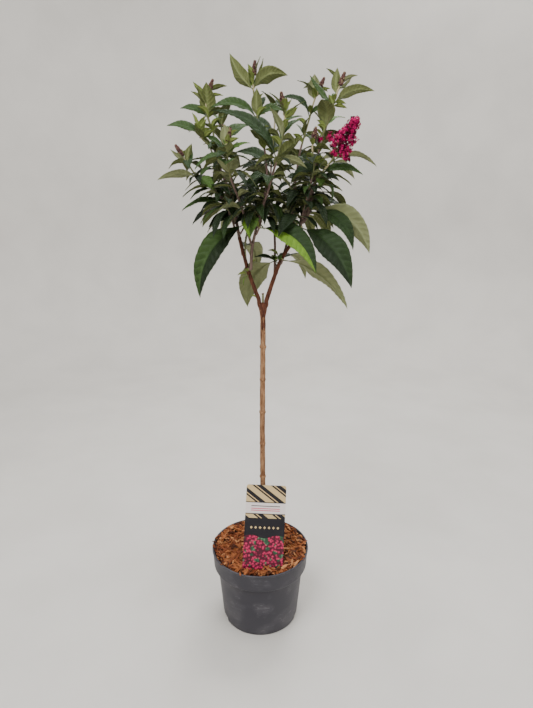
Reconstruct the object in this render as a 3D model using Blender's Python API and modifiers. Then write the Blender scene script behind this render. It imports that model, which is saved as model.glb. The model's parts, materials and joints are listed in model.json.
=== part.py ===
"""Butterfly bush grown as a small standard: a crown of paired leaves with one open flower
panicle on a clear stem, standing in a filled plastic nursery pot with a picture label.

Metres, +Z up. The origin is the centre of the pot's flat underside. -Y is the front.
Headings are degrees about +Z: 0 is +X, 90 is +Y (the back), 180 is -X and 270 is the front.
"""

import math
from collections import namedtuple

import bmesh
import bpy
import numpy as np
from mathutils import Matrix, Vector
from mathutils.bvhtree import BVHTree

# Pot and what fills it
POT_HEIGHT = 0.150
RIM_RADIUS = 0.095
RIM_HEIGHT = 0.036
RIM_STEP = 0.0080
FOOT_RADIUS = 0.0746
WALL = 0.0016
LIP = 0.0030
FLOOR = 0.0020
POT_SIDES = 40
SLOT_COUNT = 3
SLOT_TURN = 90
SLOT_WIDTH = 0.030
SLOT_HEIGHT = 0.006
SLOT_DEPTH = 0.016
SOIL_TOP = 0.128
MULCH_TOP = 0.1415
MULCH_RIPPLE = 0.0022
FILL_SIDES = 24
GAP = 0.0003
MM = 0.001

# Stem under the crown
TRUNK_X = 0.006
FORK_HEIGHT = 0.634
TRUNK_RADIUS = 0.0049
TRUNK_SWAY = 0.0012
FLARE_RADIUS = 0.0078
FORK_RADIUS = 0.0083
RING_HEIGHTS = (0.185, 0.245, 0.303, 0.372, 0.435, 0.499, 0.560)
RING_SWELL = 0.0014
RING_HALF = 0.003
STUB_RADIUS = 0.0017
STUB_LENGTH = 0.021

# Label
CARD_WIDTH = 0.076
CARD_LENGTH = 0.158
CARD_THICK = 0.0009
CARD_CORNER = 0.004
CARD_TILT = 22.5
CARD_YAW = 4.0
CARD_ROLL = 4.6
CARD_X = 0.0045
SPIKE_WIDTH = 0.016
SPIKE_LENGTH = 0.033
SLOT_ROOM = 0.0007

# Leaves and twigs
CLEARANCE = 0.0003
LEAF_THICK_SHARE = 0.0115
LEAF_THICK_LEAST = 0.0007
LEAF_FOLD = 0.26
PETIOLE_SHARE = 0.085
PETIOLE_HALF = 0.0011
WIDEST_POWERS = (0.72, 1.12)
SMALL_LEAF = 0.036
LARGE_LEAF = 0.075
BUD_LENGTH = 0.020
BUD_RADIUS = 0.0032
TWIG_TIP_RADIUS = 0.0012
SIDE_TWIG_RADIUS = 0.0016

# Flower panicle
FLOWERING = "leaves_flower_shoot"
PANICLE_LEAN = (0.50, -0.13, 0.86)
PANICLE_STALK = 0.010
PANICLE_LENGTH = 0.064
PANICLE_BASE_RADIUS = 0.0265
PANICLE_TIP_RADIUS = 0.0095
PANICLE_WHORLS = 8
FLORET_RADIUS = 0.0062

COLOURS = {
    "pot_plastic": ((0.065, 0.065, 0.075), 0.45),
    "soil": ((0.045, 0.028, 0.018), 0.95),
    "bark_mulch": ((0.28, 0.12, 0.05), 0.9),
    "stem_bark": ((0.36, 0.22, 0.12), 0.85),
    "bough_bark": ((0.14, 0.07, 0.04), 0.8),
    "foliage": ((0.07, 0.14, 0.045), 0.65),
    "blossom": ((0.55, 0.01, 0.10), 0.6),
    "label_card": ((0.06, 0.055, 0.065), 0.35),
}

Limb = namedtuple("Limb", "parent height heading points radius tip_radius")
Shoot = namedtuple("Shoot", "limb height heading points pairs fill tuft bud")
Leaf = namedtuple("Leaf", "out up bow width roll")

# These tables are in millimetres. A limb leaves its parent's side at a height, towards a heading, and
# runs through its points. With no parent it stands on the fork.
LIMBS = {
    "bough_left": Limb(None, 0, 180, ((0.2, 0, 641), (-18, 0, 691), (-33, 2, 748), (-39, 5, 782)), 3.7, 2.6),
    "bough_right": Limb(None, 0, 0, ((11.8, 0, 641), (36, 0, 710), (62, -5, 752), (75, -11, 790)), 3.9, 2.5),
    "branch_centre": Limb("bough_left", 697, 320, ((-11, -6, 738), (2, -20, 788), (6, -22, 800)), 2.7, 2.1),
    "branch_top": Limb("branch_centre", 768, 40, ((6, -9, 796), (10, -5, 820)), 2.1, 1.9),
    "branch_front_left": Limb("branch_centre", 742, 235, ((-19, -18, 762), (-23, -28, 784)), 2.1, 1.9),
    "branch_left_low": Limb("bough_left", 766, 215, ((-49, -4, 793), (-60, -8, 812)), 1.9, 1.7),
    "branch_right_inner": Limb("bough_right", 716, 75, ((49, 14, 748), (55, 21, 790)), 2.3, 2.0),
    "branch_right_high": Limb("bough_right", 776, 45, ((83, -3, 800), (87, -3, 815)), 2.0, 1.8),
    "branch_back_left": Limb("bough_left", 730, 100, ((-38, 28, 768), (-44, 42, 796)), 2.2, 1.9),
    "branch_back": Limb("bough_right", 690, 105, ((27, 28, 742), (24, 46, 780)), 2.2, 1.9),
    "branch_back_right": Limb("bough_right", 757, 70, ((72, 24, 784), (76, 34, 800)), 2.1, 1.9),
}

# A shoot's stem grows from its limb's tip, or from the limb's side at a height and heading. A pair of
# leaves stands at a height, the first towards a heading and the second opposite. A leaf's tip lies out
# and up from its root. Its bow is the rise of its middle over that line, in hundredths of it, and its
# roll lifts its left edge, as seen from its root, in degrees. A fill is a number of pairs made by rule,
# the heights that they keep between, and their leaves' length.
SHOOTS = {
    "leaves_top": Shoot("branch_top", 0, 0, (
        (13, -3, 850), (9, 0, 890), (-1, 1, 917), (-2, 0, 936), (-8, 0, 976), (-7, 0, 1000)), (
        (917, 300, (44, -34, 12, 16, 0), (30, 12, 20, 14, 0)),
        (934, 182, (75, 15, 20, 21, -48), (43, 10, 22, 22, 40)),
        (937, 268, (12, 40, 4, 17, 0), (50, 30, 25, 18, 0)),
        (976, 180, (37, 52, -6, 24, 52), (54, 19, 22, 26, -52)),
        (980, 190, (15, 18, 10, 6, 0), (27, 28, -5, 6, 0)),
        (983, 170, (8, 20, 5, 6, 0), (12, 40, 4, 7, 0))), (3, 835, 898, 50), 18, True),
    "leaves_left_high": Shoot("bough_left", 0, 0, (
        (-50, 5, 823), (-71, 15, 883), (-75, 20, 920), (-83, 20, 939), (-85, 20, 965), (-80, 20, 979)), (
        (883, 60, (45, 10, 20, 18, 0), (35, 0, 25, 14, 0)),
        (920, 5, (26, 24, 12, 9, 20), (40, -4, 10, 9, -10)),
        (937, 183, (46, 15, 15, 17, -50), (30, 10, 20, 14, 40)),
        (940, 268, (10, 50, 3, 26, 0), (35, 30, 20, 18, 0)),
        (958, 190, (19, 24, 0, 6, 0), (14, 14, 20, 6, 0)),
        (966, 175, (17, 20, 0, 6, 0), (12, 6, 20, 6, 0))), (3, 800, 870, 52), 16, True),
    "leaves_left_mid": Shoot("bough_left", 774, 165, (
        (-58, 9, 830), (-78, 10, 889), (-94, 10, 909), (-99, 10, 928)), (
        (904, 200, (25, 16, 10, 9, -10), (18, 10, 10, 8, 0)),
        (909, 181, (56, 16, 14, 18, -50), (36, -21, 12, 12, 40)),
        (920, 185, (10, 22, 5, 6, 0), (14, 20, 10, 6, 0))), (3, 820, 890, 44), 18, False),
    "leaves_left_low": Shoot("branch_left_low", 0, 0, (
        (-75, -10, 828), (-98, -10, 845), (-111, -10, 862), (-123, -10, 880)), (
        (815, 265, (14, -32, 30, 15, 0), (34, 10, 20, 15, 0)),
        (827, 190, (38, -16, 15, 14, -20), (40, 5, 20, 18, 0)),
        (843, 225, (30, -18, 5, 6, 0), (40, 20, 15, 14, 0)),
        (846, 184, (66, -5, 12, 16, 48), (30, -22, 10, 20, 45)),
        (862, 80, (8, 34, 3, 9, 0), (12, 14, 20, 7, 0)),
        (866, 180, (28, 22, -5, 10, -20), (10, 26, 0, 11, -30))), (1, 816, 822, 44), 12, True),
    "leaves_front_left": Shoot("branch_front_left", 0, 0, (
        (-34, -40, 818), (-43, -50, 843), (-47, -60, 873), (-49, -60, 887), (-46, -60, 897)), (
        (843, 262, (38, 22, 38, 32, 0), (45, 15, 20, 20, 0)),
        (870, 310, (24, 12, 30, 18, 30), (30, 10, 20, 14, 0)),
        (874, 182, (50, -20, 15, 14, -35), (36, 18, 15, 10, 35)),
        (886, 265, (8, 32, 4, 13, 0), (15, 28, 10, 10, 0)),
        (890, 170, (12, 16, 20, 6, 0), (14, 18, 25, 6, 0))), (3, 794, 832, 44), 10, True),
    "leaves_front": Shoot("branch_centre", 0, 0, (
        (15, -30, 826), (20, -40, 843), (28, -50, 869), (36, -50, 899), (40, -50, 923), (37, -50, 947)), (
        (842, 200, (36, -22, 28, 23, -45), (26, 2, 20, 13, 40)),
        (869, 178, (98, 70, 18, 22, -50), (39, 32, 5, 20, -50)),
        (896, 330, (25, -8, 35, 12, 0), (30, 10, 20, 12, 0)),
        (900, 215, (24, 42, 8, 18, 0), (36, 28, 12, 14, 20)),
        (926, 178, (33, 12, 45, 8, -20), (20, 16, 5, 9, -20)),
        (936, 270, (8, 16, 20, 6, 0), (12, 18, 10, 6, 0))), (2, 812, 858, 46), 12, True),
    "leaves_right_inner": Shoot("branch_right_inner", 0, 0, (
        (59, 25, 822), (67, 30, 881), (76, 30, 916), (83, 30, 940), (90, 30, 966), (98, 30, 984)), (
        (940, 182, (50, 29, 24, 15, -45), (28, 22, 10, 14, 30)),
        (966, 262, (8, 38, 3, 22, 0), (25, 25, 15, 14, 0)),
        (975, 183, (27, 12, 25, 7, 0), (22, 5, 30, 6, 0))), (4, 806, 912, 54), 14, True),
    "leaves_right_high": Shoot("branch_right_high", 0, 0, (
        (90, -4, 829), (93, 0, 865), (103, 0, 912), (107, 0, 921),
        (117, 0, 953), (122, 0, 969), (128, 0, 985)), (
        (917, 190, (12, 8, 20, 8, 0), (25, 22, 15, 14, 20)),
        (922, 250, (30, 36, 25, 28, 0), (35, 20, 20, 18, 0)),
        (953, 182, (38, 44, -4, 16, -45), (67, 22, 14, 19, -50)),
        (957, 170, (8, 12, 0, 6, 0), (20, -2, 10, 6, 0)),
        (969, 268, (6, 38, 2, 15, 0), (10, 30, 10, 12, 0)),
        (976, 185, (17, 26, 20, 6, 0), (23, 20, -8, 6, 0))), (3, 830, 900, 50), 14, True),
    "leaves_flower_shoot": Shoot("bough_right", 0, 0, (
        (78, -15, 803), (87, -20, 829), (97, -30, 848), (106, -34, 860), (111, -38, 866)), (
        (812, 75, (50, 0, 20, 20, 0), (35, -15, 20, 16, 0)),
        (829, 340, (30, -24, 50, 25, 0), (40, 5, 20, 18, 0)),
        (844, 285, (10, -14, 30, 12, 0), (45, 10, 20, 16, 0)),
        (848, 357, (68, 0, 18, 18, 45), (50, -11, 28, 24, -50)),
        (859, 33, (84, -6, 16, 17, -45), (18, 10, 10, 8, 0))), None, 0, False),
    "leaves_right_small": Shoot("bough_right", 782, 250, (
        (79, -28, 820), (87, -35, 859), (83, -40, 885), (85, -40, 900)), (
        (868, 320, (15, -12, 20, 9, 0), (15, 10, 20, 9, 0)),
        (884, 195, (10, 26, 5, 10, -30), (28, 0, 20, 9, 0)),
        (888, 175, (6, 10, 10, 6, 0), (28, 12, 30, 8, 15))), (2, 828, 862, 34), 10, True),
    "leaves_low_left": Shoot("bough_left", 756, 315, ((-20, -11, 775),), (
        (773, 202, (83, -119, 17, 42, -45), (40, 0, 20, 22, 0)),), None, 0, False),
    "leaves_left_inner": Shoot("branch_left_low", 790, 255, ((-50, -14, 800), (-53, -17, 808)), (
        (799, 212, (48, -26, 15, 11, 0), (30, 0, 20, 14, 0)),
        (805, 186, (74, -12, 13, 19, -25), (36, 0, 20, 18, 0))), None, 0, False),
    "leaves_low_middle": Shoot("branch_centre", 765, 250, ((-9, -25, 782),), (
        (780, 262, (36, -28, 30, 28, 0), (30, 10, 20, 16, 0)),), None, 0, False),
    "leaves_low_front": Shoot("branch_centre", 758, 300, ((2, -28, 769),), (
        (767, 325, (108, -66, 15, 40, 35), (36, 0, 20, 22, 0)),), None, 0, False),
    "leaves_centre": Shoot("branch_top", 798, 60, ((18, 3, 812),), (
        (805, 128, (24, -78, 22, 28, 20), (34, -34, 25, 24, -20)),
        (810, 90, (60, -20, 20, 22, 0), (34, -20, 30, 20, 0))), None, 0, False),
    "leaves_low_right": Shoot("bough_right", 708, 300, ((40, -10, 715),), (
        (713, 340, (114, -76, 15, 36, -55), (36, 2, 12, 16, -30)),), None, 0, False),
    "leaves_low_back": Shoot("bough_right", 702, 150, ((26, 9, 712),), (
        (708, 80, (100, -40, 25, 32, 0), (20, 5, 20, 12, 0)),
        (710, 158, (52, -84, 20, 46, 50), (45, 0, 20, 24, 0))), None, 0, False),
    "leaves_middle": Shoot("bough_right", 738, 225, ((49, -18, 765), (49, -20, 776)), (
        (764, 305, (34, -40, 25, 16, 0), (40, -10, 20, 20, 0)),
        (772, 215, (32, -10, 25, 18, -20), (36, -20, 20, 16, 0))), None, 0, False),
    "leaves_right_low": Shoot("bough_right", 757, 300, ((71, -20, 769),), (
        (766, 322, (98, -90, 16, 44, 40), (36, 0, 20, 22, 0)),), None, 0, False),
    "leaves_right_mid": Shoot("bough_right", 780, 330, ((88, -15, 800),), (
        (792, 325, (74, -70, 20, 30, 40), (40, 0, 20, 22, 0)),
        (798, 5, (100, -74, 14, 38, -60), (30, 6, 20, 16, 0))), None, 0, False),
    "leaves_low_rear": Shoot("bough_left", 722, 120, ((-32, 17, 736),), (
        (731, 76, (108, -56, 22, 36, 0), (20, 4, 20, 12, 0)),), None, 0, False),
    "leaves_inner_rear": Shoot("branch_right_inner", 770, 20, ((61, 27, 784),), (
        (779, 40, (95, -50, 22, 30, 0), (30, 5, 20, 16, 0)),), None, 0, False),
    "leaves_back_left": Shoot("branch_back_left", 0, 0, ((-58, 80, 868), (-66, 98, 912), (-68, 104, 938)),
                              (), (6, 802, 930, 92), 28, True),
    "leaves_back": Shoot("branch_back", 0, 0, ((20, 84, 850), (24, 104, 905), (28, 112, 955)),
                         (), (7, 786, 946, 96), 30, True),
    "leaves_back_right": Shoot("branch_back_right", 0, 0, ((96, 68, 862), (108, 84, 905), (114, 90, 932)),
                               (), (5, 806, 924, 90), 28, True),
}


def unit(vector):
    """The vector at length one."""
    return np.asarray(vector, float) / np.linalg.norm(vector)


def heading_vector(degrees):
    """The level unit vector that faces a heading."""
    angle = math.radians(degrees)
    return np.array((math.cos(angle), math.sin(angle), 0.0))


def smooth_path(points, spacing):
    """Points at an even spacing along a Catmull-Rom curve through the given points."""
    points = np.asarray(points, float)
    ends = np.vstack((2 * points[0] - points[1], points, 2 * points[-1] - points[-2]))
    share = np.linspace(0, 1, 24, endpoint=False)[:, None]
    runs = []
    for a, b, c, d in zip(ends, ends[1:], ends[2:], ends[3:]):
        runs.append(0.5 * (2 * b + (c - a) * share + (2 * a - 5 * b + 4 * c - d) * share**2
                           + (3 * b - a - 3 * c + d) * share**3))
    fine = np.vstack((*runs, points[-1]))
    travelled = np.concatenate(([0], np.cumsum(np.linalg.norm(np.diff(fine, axis=0), axis=1))))
    count = max(3, 1 + round(travelled[-1] / spacing))
    wanted = np.linspace(0, travelled[-1], count)
    return np.stack([np.interp(wanted, travelled, fine[:, axis]) for axis in range(3)], axis=1)


def along(path, share):
    """The point at a share of a path's length."""
    travelled = np.concatenate(([0], np.cumsum(np.linalg.norm(np.diff(path, axis=0), axis=1))))
    return np.array([np.interp(share * travelled[-1], travelled, path[:, axis]) for axis in range(3)])


def leaf_spine(root, heading, leaf, shares):
    """Centre line of a leaf, with its side and its upper face's normal at each share.

    The line is a parabola: root + share * chord, with 4 * bow * share * (1 - share) of the chord's
    length added square to the chord, upwards. The roll comes in over the first third.
    """
    shares = np.asarray(shares, float)[:, None]
    level, up = heading_vector(heading), np.array((0.0, 0.0, 1.0))
    chord = (leaf.out * level + leaf.up * up) * MM
    lift = (leaf.out * up - leaf.up * level) * MM * leaf.bow / 100
    spine = root + shares * chord + 4 * shares * (1 - shares) * lift
    forward = chord + 4 * (1 - 2 * shares) * lift
    forward /= np.linalg.norm(forward, axis=1)[:, None]
    flat = np.broadcast_to(np.cross(up, level), forward.shape)
    above = np.cross(forward, flat)
    turn = np.radians(leaf.roll) * np.clip(shares / 0.35, 0, 1)
    side = np.cos(turn) * flat + np.sin(turn) * above
    return spine, side, np.cross(forward, side)


def leaf_length(leaf):
    """Length of a leaf along its bow, in metres."""
    return math.hypot(leaf.out, leaf.up) * MM * (1 + 8 / 3 * (leaf.bow / 100)**2)


def leaf_half_width(leaf, shares):
    """Half the blade's width: a slim stalk, then x to one power times (1 - x) to another."""
    low, high = WIDEST_POWERS
    blade = np.clip((np.asarray(shares) - PETIOLE_SHARE) / (1 - PETIOLE_SHARE), 0, 1)
    peak = low / (low + high)
    shape = blade**low * (1 - blade)**high / (peak**low * (1 - peak)**high)
    return np.maximum(shape * leaf.width * MM / 2, min(PETIOLE_HALF, leaf_length(leaf) * 0.03))


def leaf_thickness(leaf):
    """Thickness of a leaf's solid along its midrib."""
    return max(LEAF_THICK_LEAST, LEAF_THICK_SHARE * leaf_length(leaf))


def leaf_stations(leaf):
    """Shares of a leaf's length at which its solid has a ring of points, between its two ends."""
    length = leaf_length(leaf)
    if length < SMALL_LEAF:
        return np.array((0, 0.05, 0.34, 0.68, 1.0))
    if length < LARGE_LEAF:
        return np.array((0, 0.04, 0.24, 0.50, 0.78, 1.0))
    return np.array((0, 0.035, 0.20, 0.42, 0.64, 0.84, 1.0))


def leaf_rows(root, heading, leaf):
    """Rows of three points across the leaf, its two halves folded up a little, and each row's normal."""
    shares = leaf_stations(leaf)
    spine, side, normal = leaf_spine(root, heading, leaf, shares)
    half = leaf_half_width(leaf, shares)[:, None]
    half[-1] = 0
    lift = LEAF_FOLD * half * normal
    return np.stack((spine - half * side + lift, spine, spine + half * side + lift), axis=1), normal


def tube_rows(path, radii, sides=6):
    """Rings of points round a path."""
    forward = np.gradient(path, axis=0)
    forward /= np.linalg.norm(forward, axis=1)[:, None]
    first = np.cross(forward, (0.31, 0.95, 0.05))
    first /= np.linalg.norm(first, axis=1)[:, None]
    second = np.cross(forward, first)
    turn = np.linspace(0, 2 * np.pi, sides + 1)[None, :, None]
    ring = np.cos(turn) * first[:, None] + np.sin(turn) * second[:, None]
    return path[:, None] + np.asarray(radii)[:, None, None] * ring


def tree_of(rows_list):
    """A search tree over grids of points, each joined into quads."""
    corners, faces = [], []
    for rows in rows_list:
        start = len(corners)
        high, wide = rows.shape[:2]
        corners.extend(map(tuple, rows.reshape(-1, 3)))
        for i in range(high - 1):
            for j in range(wide - 1):
                at = start + i * wide + j
                faces.append((at, at + 1, at + wide + 1, at + wide))
    return BVHTree.FromPolygons(corners, faces)


class Crown:
    """What has been placed so far, so that each new leaf can be kept clear of it."""

    def __init__(self):
        self.things = []

    def add(self, owner, rows_list):
        stacked = np.vstack([rows.reshape(-1, 3) for rows in rows_list])
        self.things.append((owner, tree_of(rows_list), stacked.min(axis=0), stacked.max(axis=0)))

    def is_clear(self, owner, whole, outer):
        """True if the whole leaf misses other owners' things and its outer part misses its own shoot's."""
        stacked = np.vstack([rows.reshape(-1, 3) for rows in whole])
        low, high = stacked.min(axis=0), stacked.max(axis=0)
        whole_tree, outer_tree = tree_of(whole), tree_of(outer)
        for other, tree, other_low, other_high in self.things:
            if np.any(low > other_high) or np.any(high < other_low):
                continue
            if (outer_tree if other == owner else whole_tree).overlap(tree):
                return False
        return True


def leaf_shell(root, heading, leaf, first_row=0):
    """The leaf's two faces as grids, thicker than its solid by the clearance."""
    rows, normal = leaf_rows(root, heading, leaf)
    offset = (leaf_thickness(leaf) / 2 + CLEARANCE) * normal[:, None]
    return [(rows + offset)[first_row:], (rows - offset)[first_row:]]


# Turns in degrees, and rises as a share of the leaf's length, that a leaf tries in order.
TRIED_TURNS = ((0, 0), (8, 0), (-8, 0), (0, 0.12), (0, -0.12), (15, 0.1), (-15, 0.1), (15, -0.1), (-15, -0.1),
               (26, 0), (-26, 0), (26, 0.2), (-26, 0.2), (40, 0), (-40, 0), (52, 0.1), (-52, 0.1))


def settle_leaf(crown, owner, root, heading, leaf):
    """The heading and leaf nearest to those wanted that clear everything placed so far, or None."""
    for size in (1.0, 0.88, 0.74, 0.60):
        for turn, rise in TRIED_TURNS:
            length = math.hypot(leaf.out, leaf.up)
            tried = leaf._replace(out=leaf.out * size, up=(leaf.up + rise * length) * size,
                                  width=leaf.width * size)
            start = root - 0.0004 * heading_vector(heading + turn)
            whole = leaf_shell(start, heading + turn, tried)
            outer = leaf_shell(start, heading + turn, tried, first_row=len(leaf_stations(leaf)) // 2)
            if crown.is_clear(owner, whole, outer):
                crown.add(owner, whole)
                return start, heading + turn, tried
    return None


def limb_paths():
    """Centre line and radii of each limb. A limb's foot stands clear of its parent's side."""
    paths = {}
    for name, limb in LIMBS.items():
        points = [np.array(point) * MM for point in limb.points]
        if limb.parent is None:
            foot = np.array((points[0][0], 0, FORK_HEIGHT + GAP))
            path = smooth_path([foot, *points], 0.011)
        else:
            foot, out = side_of(paths[limb.parent], limb.height * MM, limb.heading)
            path = stem_from(foot, out, points, limb.radius * MM)
        paths[name] = (path, np.linspace(limb.radius, limb.tip_radius, len(path)) * MM)
    return paths


def stem_from(foot, out, points, radius):
    """A path that leaves its foot straight out, so that its end face lies flat, and runs through points."""
    collar = foot + (1.2 * radius + 0.0005) * out
    return np.vstack((foot, smooth_path([collar, *points], 0.012)))


def side_of(limb, height, heading):
    """A point just clear of a limb's side at a height, and the way out from it towards a heading."""
    path, radii = limb
    step = min(max(int(np.searchsorted(path[:, 2], height)), 1), len(path) - 1)
    forward = unit(path[step] - path[step - 1])
    share = (height - path[step - 1][2]) / (path[step][2] - path[step - 1][2])
    point = path[step - 1] + share * (path[step] - path[step - 1])
    wanted = heading_vector(heading)
    out = unit(wanted - wanted.dot(forward) * forward)
    return point + (radii[step - 1] + GAP) * out, out


def at_height(path, height):
    """The point of a rising path at a height."""
    step = min(max(int(np.searchsorted(path[:, 2], height)), 1), len(path) - 1)
    share = (height - path[step - 1][2]) / (path[step][2] - path[step - 1][2])
    return path[step - 1] + min(share, 1) * (path[step] - path[step - 1])


def shoot_paths(limbs):
    """Centre line and radii of each shoot's stem."""
    paths = {}
    for name, shoot in SHOOTS.items():
        path, radii = limbs[shoot.limb]
        points = [np.array(point) * MM for point in shoot.points]
        if shoot.height:
            foot, out = side_of(limbs[shoot.limb], shoot.height * MM, shoot.heading)
            radius = SIDE_TWIG_RADIUS
        else:
            out = unit(path[-1] - path[-2])
            foot = path[-1] + GAP * out
            radius = radii[-1]
        stem = stem_from(foot, out, points, radius)
        tip_radius = TWIG_TIP_RADIUS if len(shoot.points) > 1 else SIDE_TWIG_RADIUS * 0.8
        paths[name] = (stem, np.linspace(radius, tip_radius, len(stem)))
    return paths


def wanted_leaves(name, path, seed):
    """Each leaf that the shoot would like to grow: its root, heading and leaf, from the foot to the tip."""
    shoot, chance = SHOOTS[name], np.random.default_rng(seed)
    found = []
    for height, heading, one, two in shoot.pairs:
        root = at_height(path, height * MM)
        found.append((root, heading, Leaf(*one)))
        found.append((root + (0, 0, 0.0008), heading + 180 + chance.uniform(-6, 6), Leaf(*two)))
    if shoot.fill:
        count, low, high, length = shoot.fill
        turn = chance.uniform(0, 90)
        for step in range(count):
            share = step / max(1, count - 1)
            root = at_height(path, (low + (high - low) * share) * MM)
            for half in (0, 180):
                found.append((root + (0, 0, 0.0007 * (half > 0)), turn + half + chance.uniform(-12, 12),
                              ruled_leaf(length * (1 - 0.35 * share), -12 + 50 * share, chance)))
            turn += 90
    if shoot.tuft:
        turn = 45 + chance.uniform(-10, 10)
        for step in range(3):
            root = along(path, 0.93 + 0.03 * step)
            for half in (0, 180):
                found.append((root + (0, 0, 0.0007 * (half > 0)), turn + half + chance.uniform(-15, 15),
                              ruled_leaf(shoot.tuft * (1.1 - 0.25 * step), 52 + 9 * step, chance)))
            turn += 90
    return found


def ruled_leaf(length, rise, chance):
    """A leaf by rule: its line to the tip lies at a rise over the level, with some chance in each size."""
    rise = math.radians(rise + chance.uniform(-9, 9))
    length *= chance.uniform(0.88, 1.1)
    width = length * chance.uniform(0.27, 0.33)
    return Leaf(length * math.cos(rise), length * math.sin(rise), chance.uniform(10, 22), width,
                chance.uniform(-45, 45))


def grow_leaves(limbs, stems):
    """Every leaf that finds room, by shoot. The largest leaves choose their place first."""
    crown = Crown()
    trunk = np.array([(TRUNK_X, 0, height) for height in np.linspace(SOIL_TOP, FORK_HEIGHT, 6)])
    crown.add("trunk", [tube_rows(trunk, np.full(6, FORK_RADIUS))])
    for name, (path, radii) in (*limbs.items(), *stems.items()):
        crown.add(name, [tube_rows(path, radii + CLEARANCE)])
    line, _ = panicle_line(stems[FLOWERING])
    girth = panicle_reach(np.linspace(0, 1, 7)) + 0.002
    crown.add("flower_panicle", [tube_rows(line[2:], girth, sides=10)])
    wanted = []
    for seed, (name, (path, _)) in enumerate(stems.items()):
        wanted += [(name, *leaf) for leaf in wanted_leaves(name, path, seed)]
    wanted.sort(key=lambda row: -leaf_length(row[3]))
    grown = {name: [] for name in stems}
    for name, root, heading, leaf in wanted:
        settled = settle_leaf(crown, name, root, heading, leaf)
        if settled:
            grown[name].append(settled)
    return grown


def material(name):
    """A plain Principled material from the table of colours."""
    colour, roughness = COLOURS[name]
    made = bpy.data.materials.get(name) or bpy.data.materials.new(name)
    made.use_nodes = True
    shader = made.node_tree.nodes["Principled BSDF"]
    shader.inputs["Base Color"].default_value = (*colour, 1)
    shader.inputs["Roughness"].default_value = roughness
    shader.inputs["Metallic"].default_value = 0.0
    made.diffuse_color = (*colour, 1)
    return made


def new_object(name, data, collection, finish=None):
    """An object in a collection, with its material."""
    made = bpy.data.objects.new(name, data)
    collection.objects.link(made)
    if finish:
        data.materials.append(material(finish))
    return made


def new_tube(name, path, radii, collection, finish=None, resolution=1):
    """A curve object with a round bevel that narrows along its path, and filled caps."""
    curve = bpy.data.curves.new(name, "CURVE")
    curve.dimensions = "3D"
    curve.bevel_depth = 1.0
    curve.bevel_resolution = resolution
    curve.use_fill_caps = True
    spline = curve.splines.new("POLY")
    spline.points.add(len(path) - 1)
    spline.points.foreach_set("co", np.column_stack((path, np.ones(len(path)))).ravel())
    spline.points.foreach_set("radius", np.asarray(radii, float))
    return new_object(name, curve, collection, finish)


def tube_to_mesh(tube, collection):
    """The tube as a closed mesh object of the same name, its caps welded. The curve is removed."""
    graph = bpy.context.evaluated_depsgraph_get()
    mesh = bpy.data.meshes.new_from_object(tube.evaluated_get(graph))
    shape = bmesh.new()
    shape.from_mesh(mesh)
    bmesh.ops.remove_doubles(shape, verts=shape.verts, dist=0.000001)
    bmesh.ops.recalc_face_normals(shape, faces=shape.faces)
    shape.to_mesh(mesh)
    shape.free()
    name, matrix = tube.name, tube.matrix_world.copy()
    bpy.data.objects.remove(tube)
    made = bpy.data.objects.new(name, mesh)
    made.matrix_world = matrix
    collection.objects.link(made)
    return made


def leaf_mesh(name, root, heading, leaf, collection):
    """A leaf's closed solid: a four-sided sphere drawn out along the leaf, its poles at the two ends.

    Two of its corners run along the blade's edges, and two along the midrib, above and below. Each quad
    is split the same way over and under the blade, so that the two faces keep clear of each other.
    """
    rows, normal = leaf_rows(root, heading, leaf)
    thick = leaf_thickness(leaf)
    last = len(rows) - 1
    shape = bmesh.new()
    bmesh.ops.create_uvsphere(shape, u_segments=4, v_segments=last, radius=1)
    for face in [face for face in shape.faces if len(face.verts) == 4]:
        edge_side = min((vert for vert in face.verts if abs(vert.co.x) > 0.001), key=lambda vert: vert.co.z)
        midrib = max((vert for vert in face.verts if abs(vert.co.x) <= 0.001), key=lambda vert: vert.co.z)
        bmesh.utils.face_split(face, edge_side, midrib)
    for vert in shape.verts:
        row = round(math.acos(max(-1, min(1, -vert.co.z))) / math.pi * last)
        across, over = round(vert.co.x, 3), round(vert.co.y, 3)
        if row in (0, last):
            across = over = 0
        place = rows[row][1 + (across > 0) - (across < 0)]
        vert.co = place + normal[row] * thick / 2 * ((over > 0) - (over < 0))
    bmesh.ops.recalc_face_normals(shape, faces=shape.faces)
    mesh = bpy.data.meshes.new(name)
    shape.to_mesh(mesh)
    shape.free()
    return new_object(name, mesh, collection)


def bud_mesh(name, foot, forward, collection):
    """A terminal flower bud: a plump six-sided spindle."""
    shape = bmesh.new()
    bmesh.ops.create_uvsphere(shape, u_segments=6, v_segments=5, radius=1)
    turn = Vector(forward).to_track_quat("Z", "Y").to_matrix().to_4x4()
    size = Matrix.Diagonal((BUD_RADIUS, BUD_RADIUS, BUD_LENGTH / 2, 1))
    middle = Vector(foot) + Vector(forward) * (BUD_LENGTH / 2 - 0.003)
    bmesh.ops.transform(shape, matrix=Matrix.Translation(middle) @ turn @ size, verts=shape.verts)
    mesh = bpy.data.meshes.new(name)
    shape.to_mesh(mesh)
    shape.free()
    return new_object(name, mesh, collection)


def fuse(target, others):
    """Joins a collection's objects to the target by one Boolean union, applies it and removes them.

    Where the exact solver leaves more than one body or an open edge, the manifold solver joins them.
    """
    union = target.modifiers.new("union", "BOOLEAN")
    union.operation = "UNION"
    union.operand_type = "COLLECTION"
    union.collection = others
    for solver in ("EXACT", "MANIFOLD"):
        union.solver = solver
        bpy.context.view_layer.update()
        graph = bpy.context.evaluated_depsgraph_get()
        mesh = bpy.data.meshes.new_from_object(target.evaluated_get(graph))
        if drop_scraps(mesh):
            break
    target.modifiers.clear()
    target.data = mesh
    for other in list(others.objects):
        bpy.data.objects.remove(other)


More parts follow.
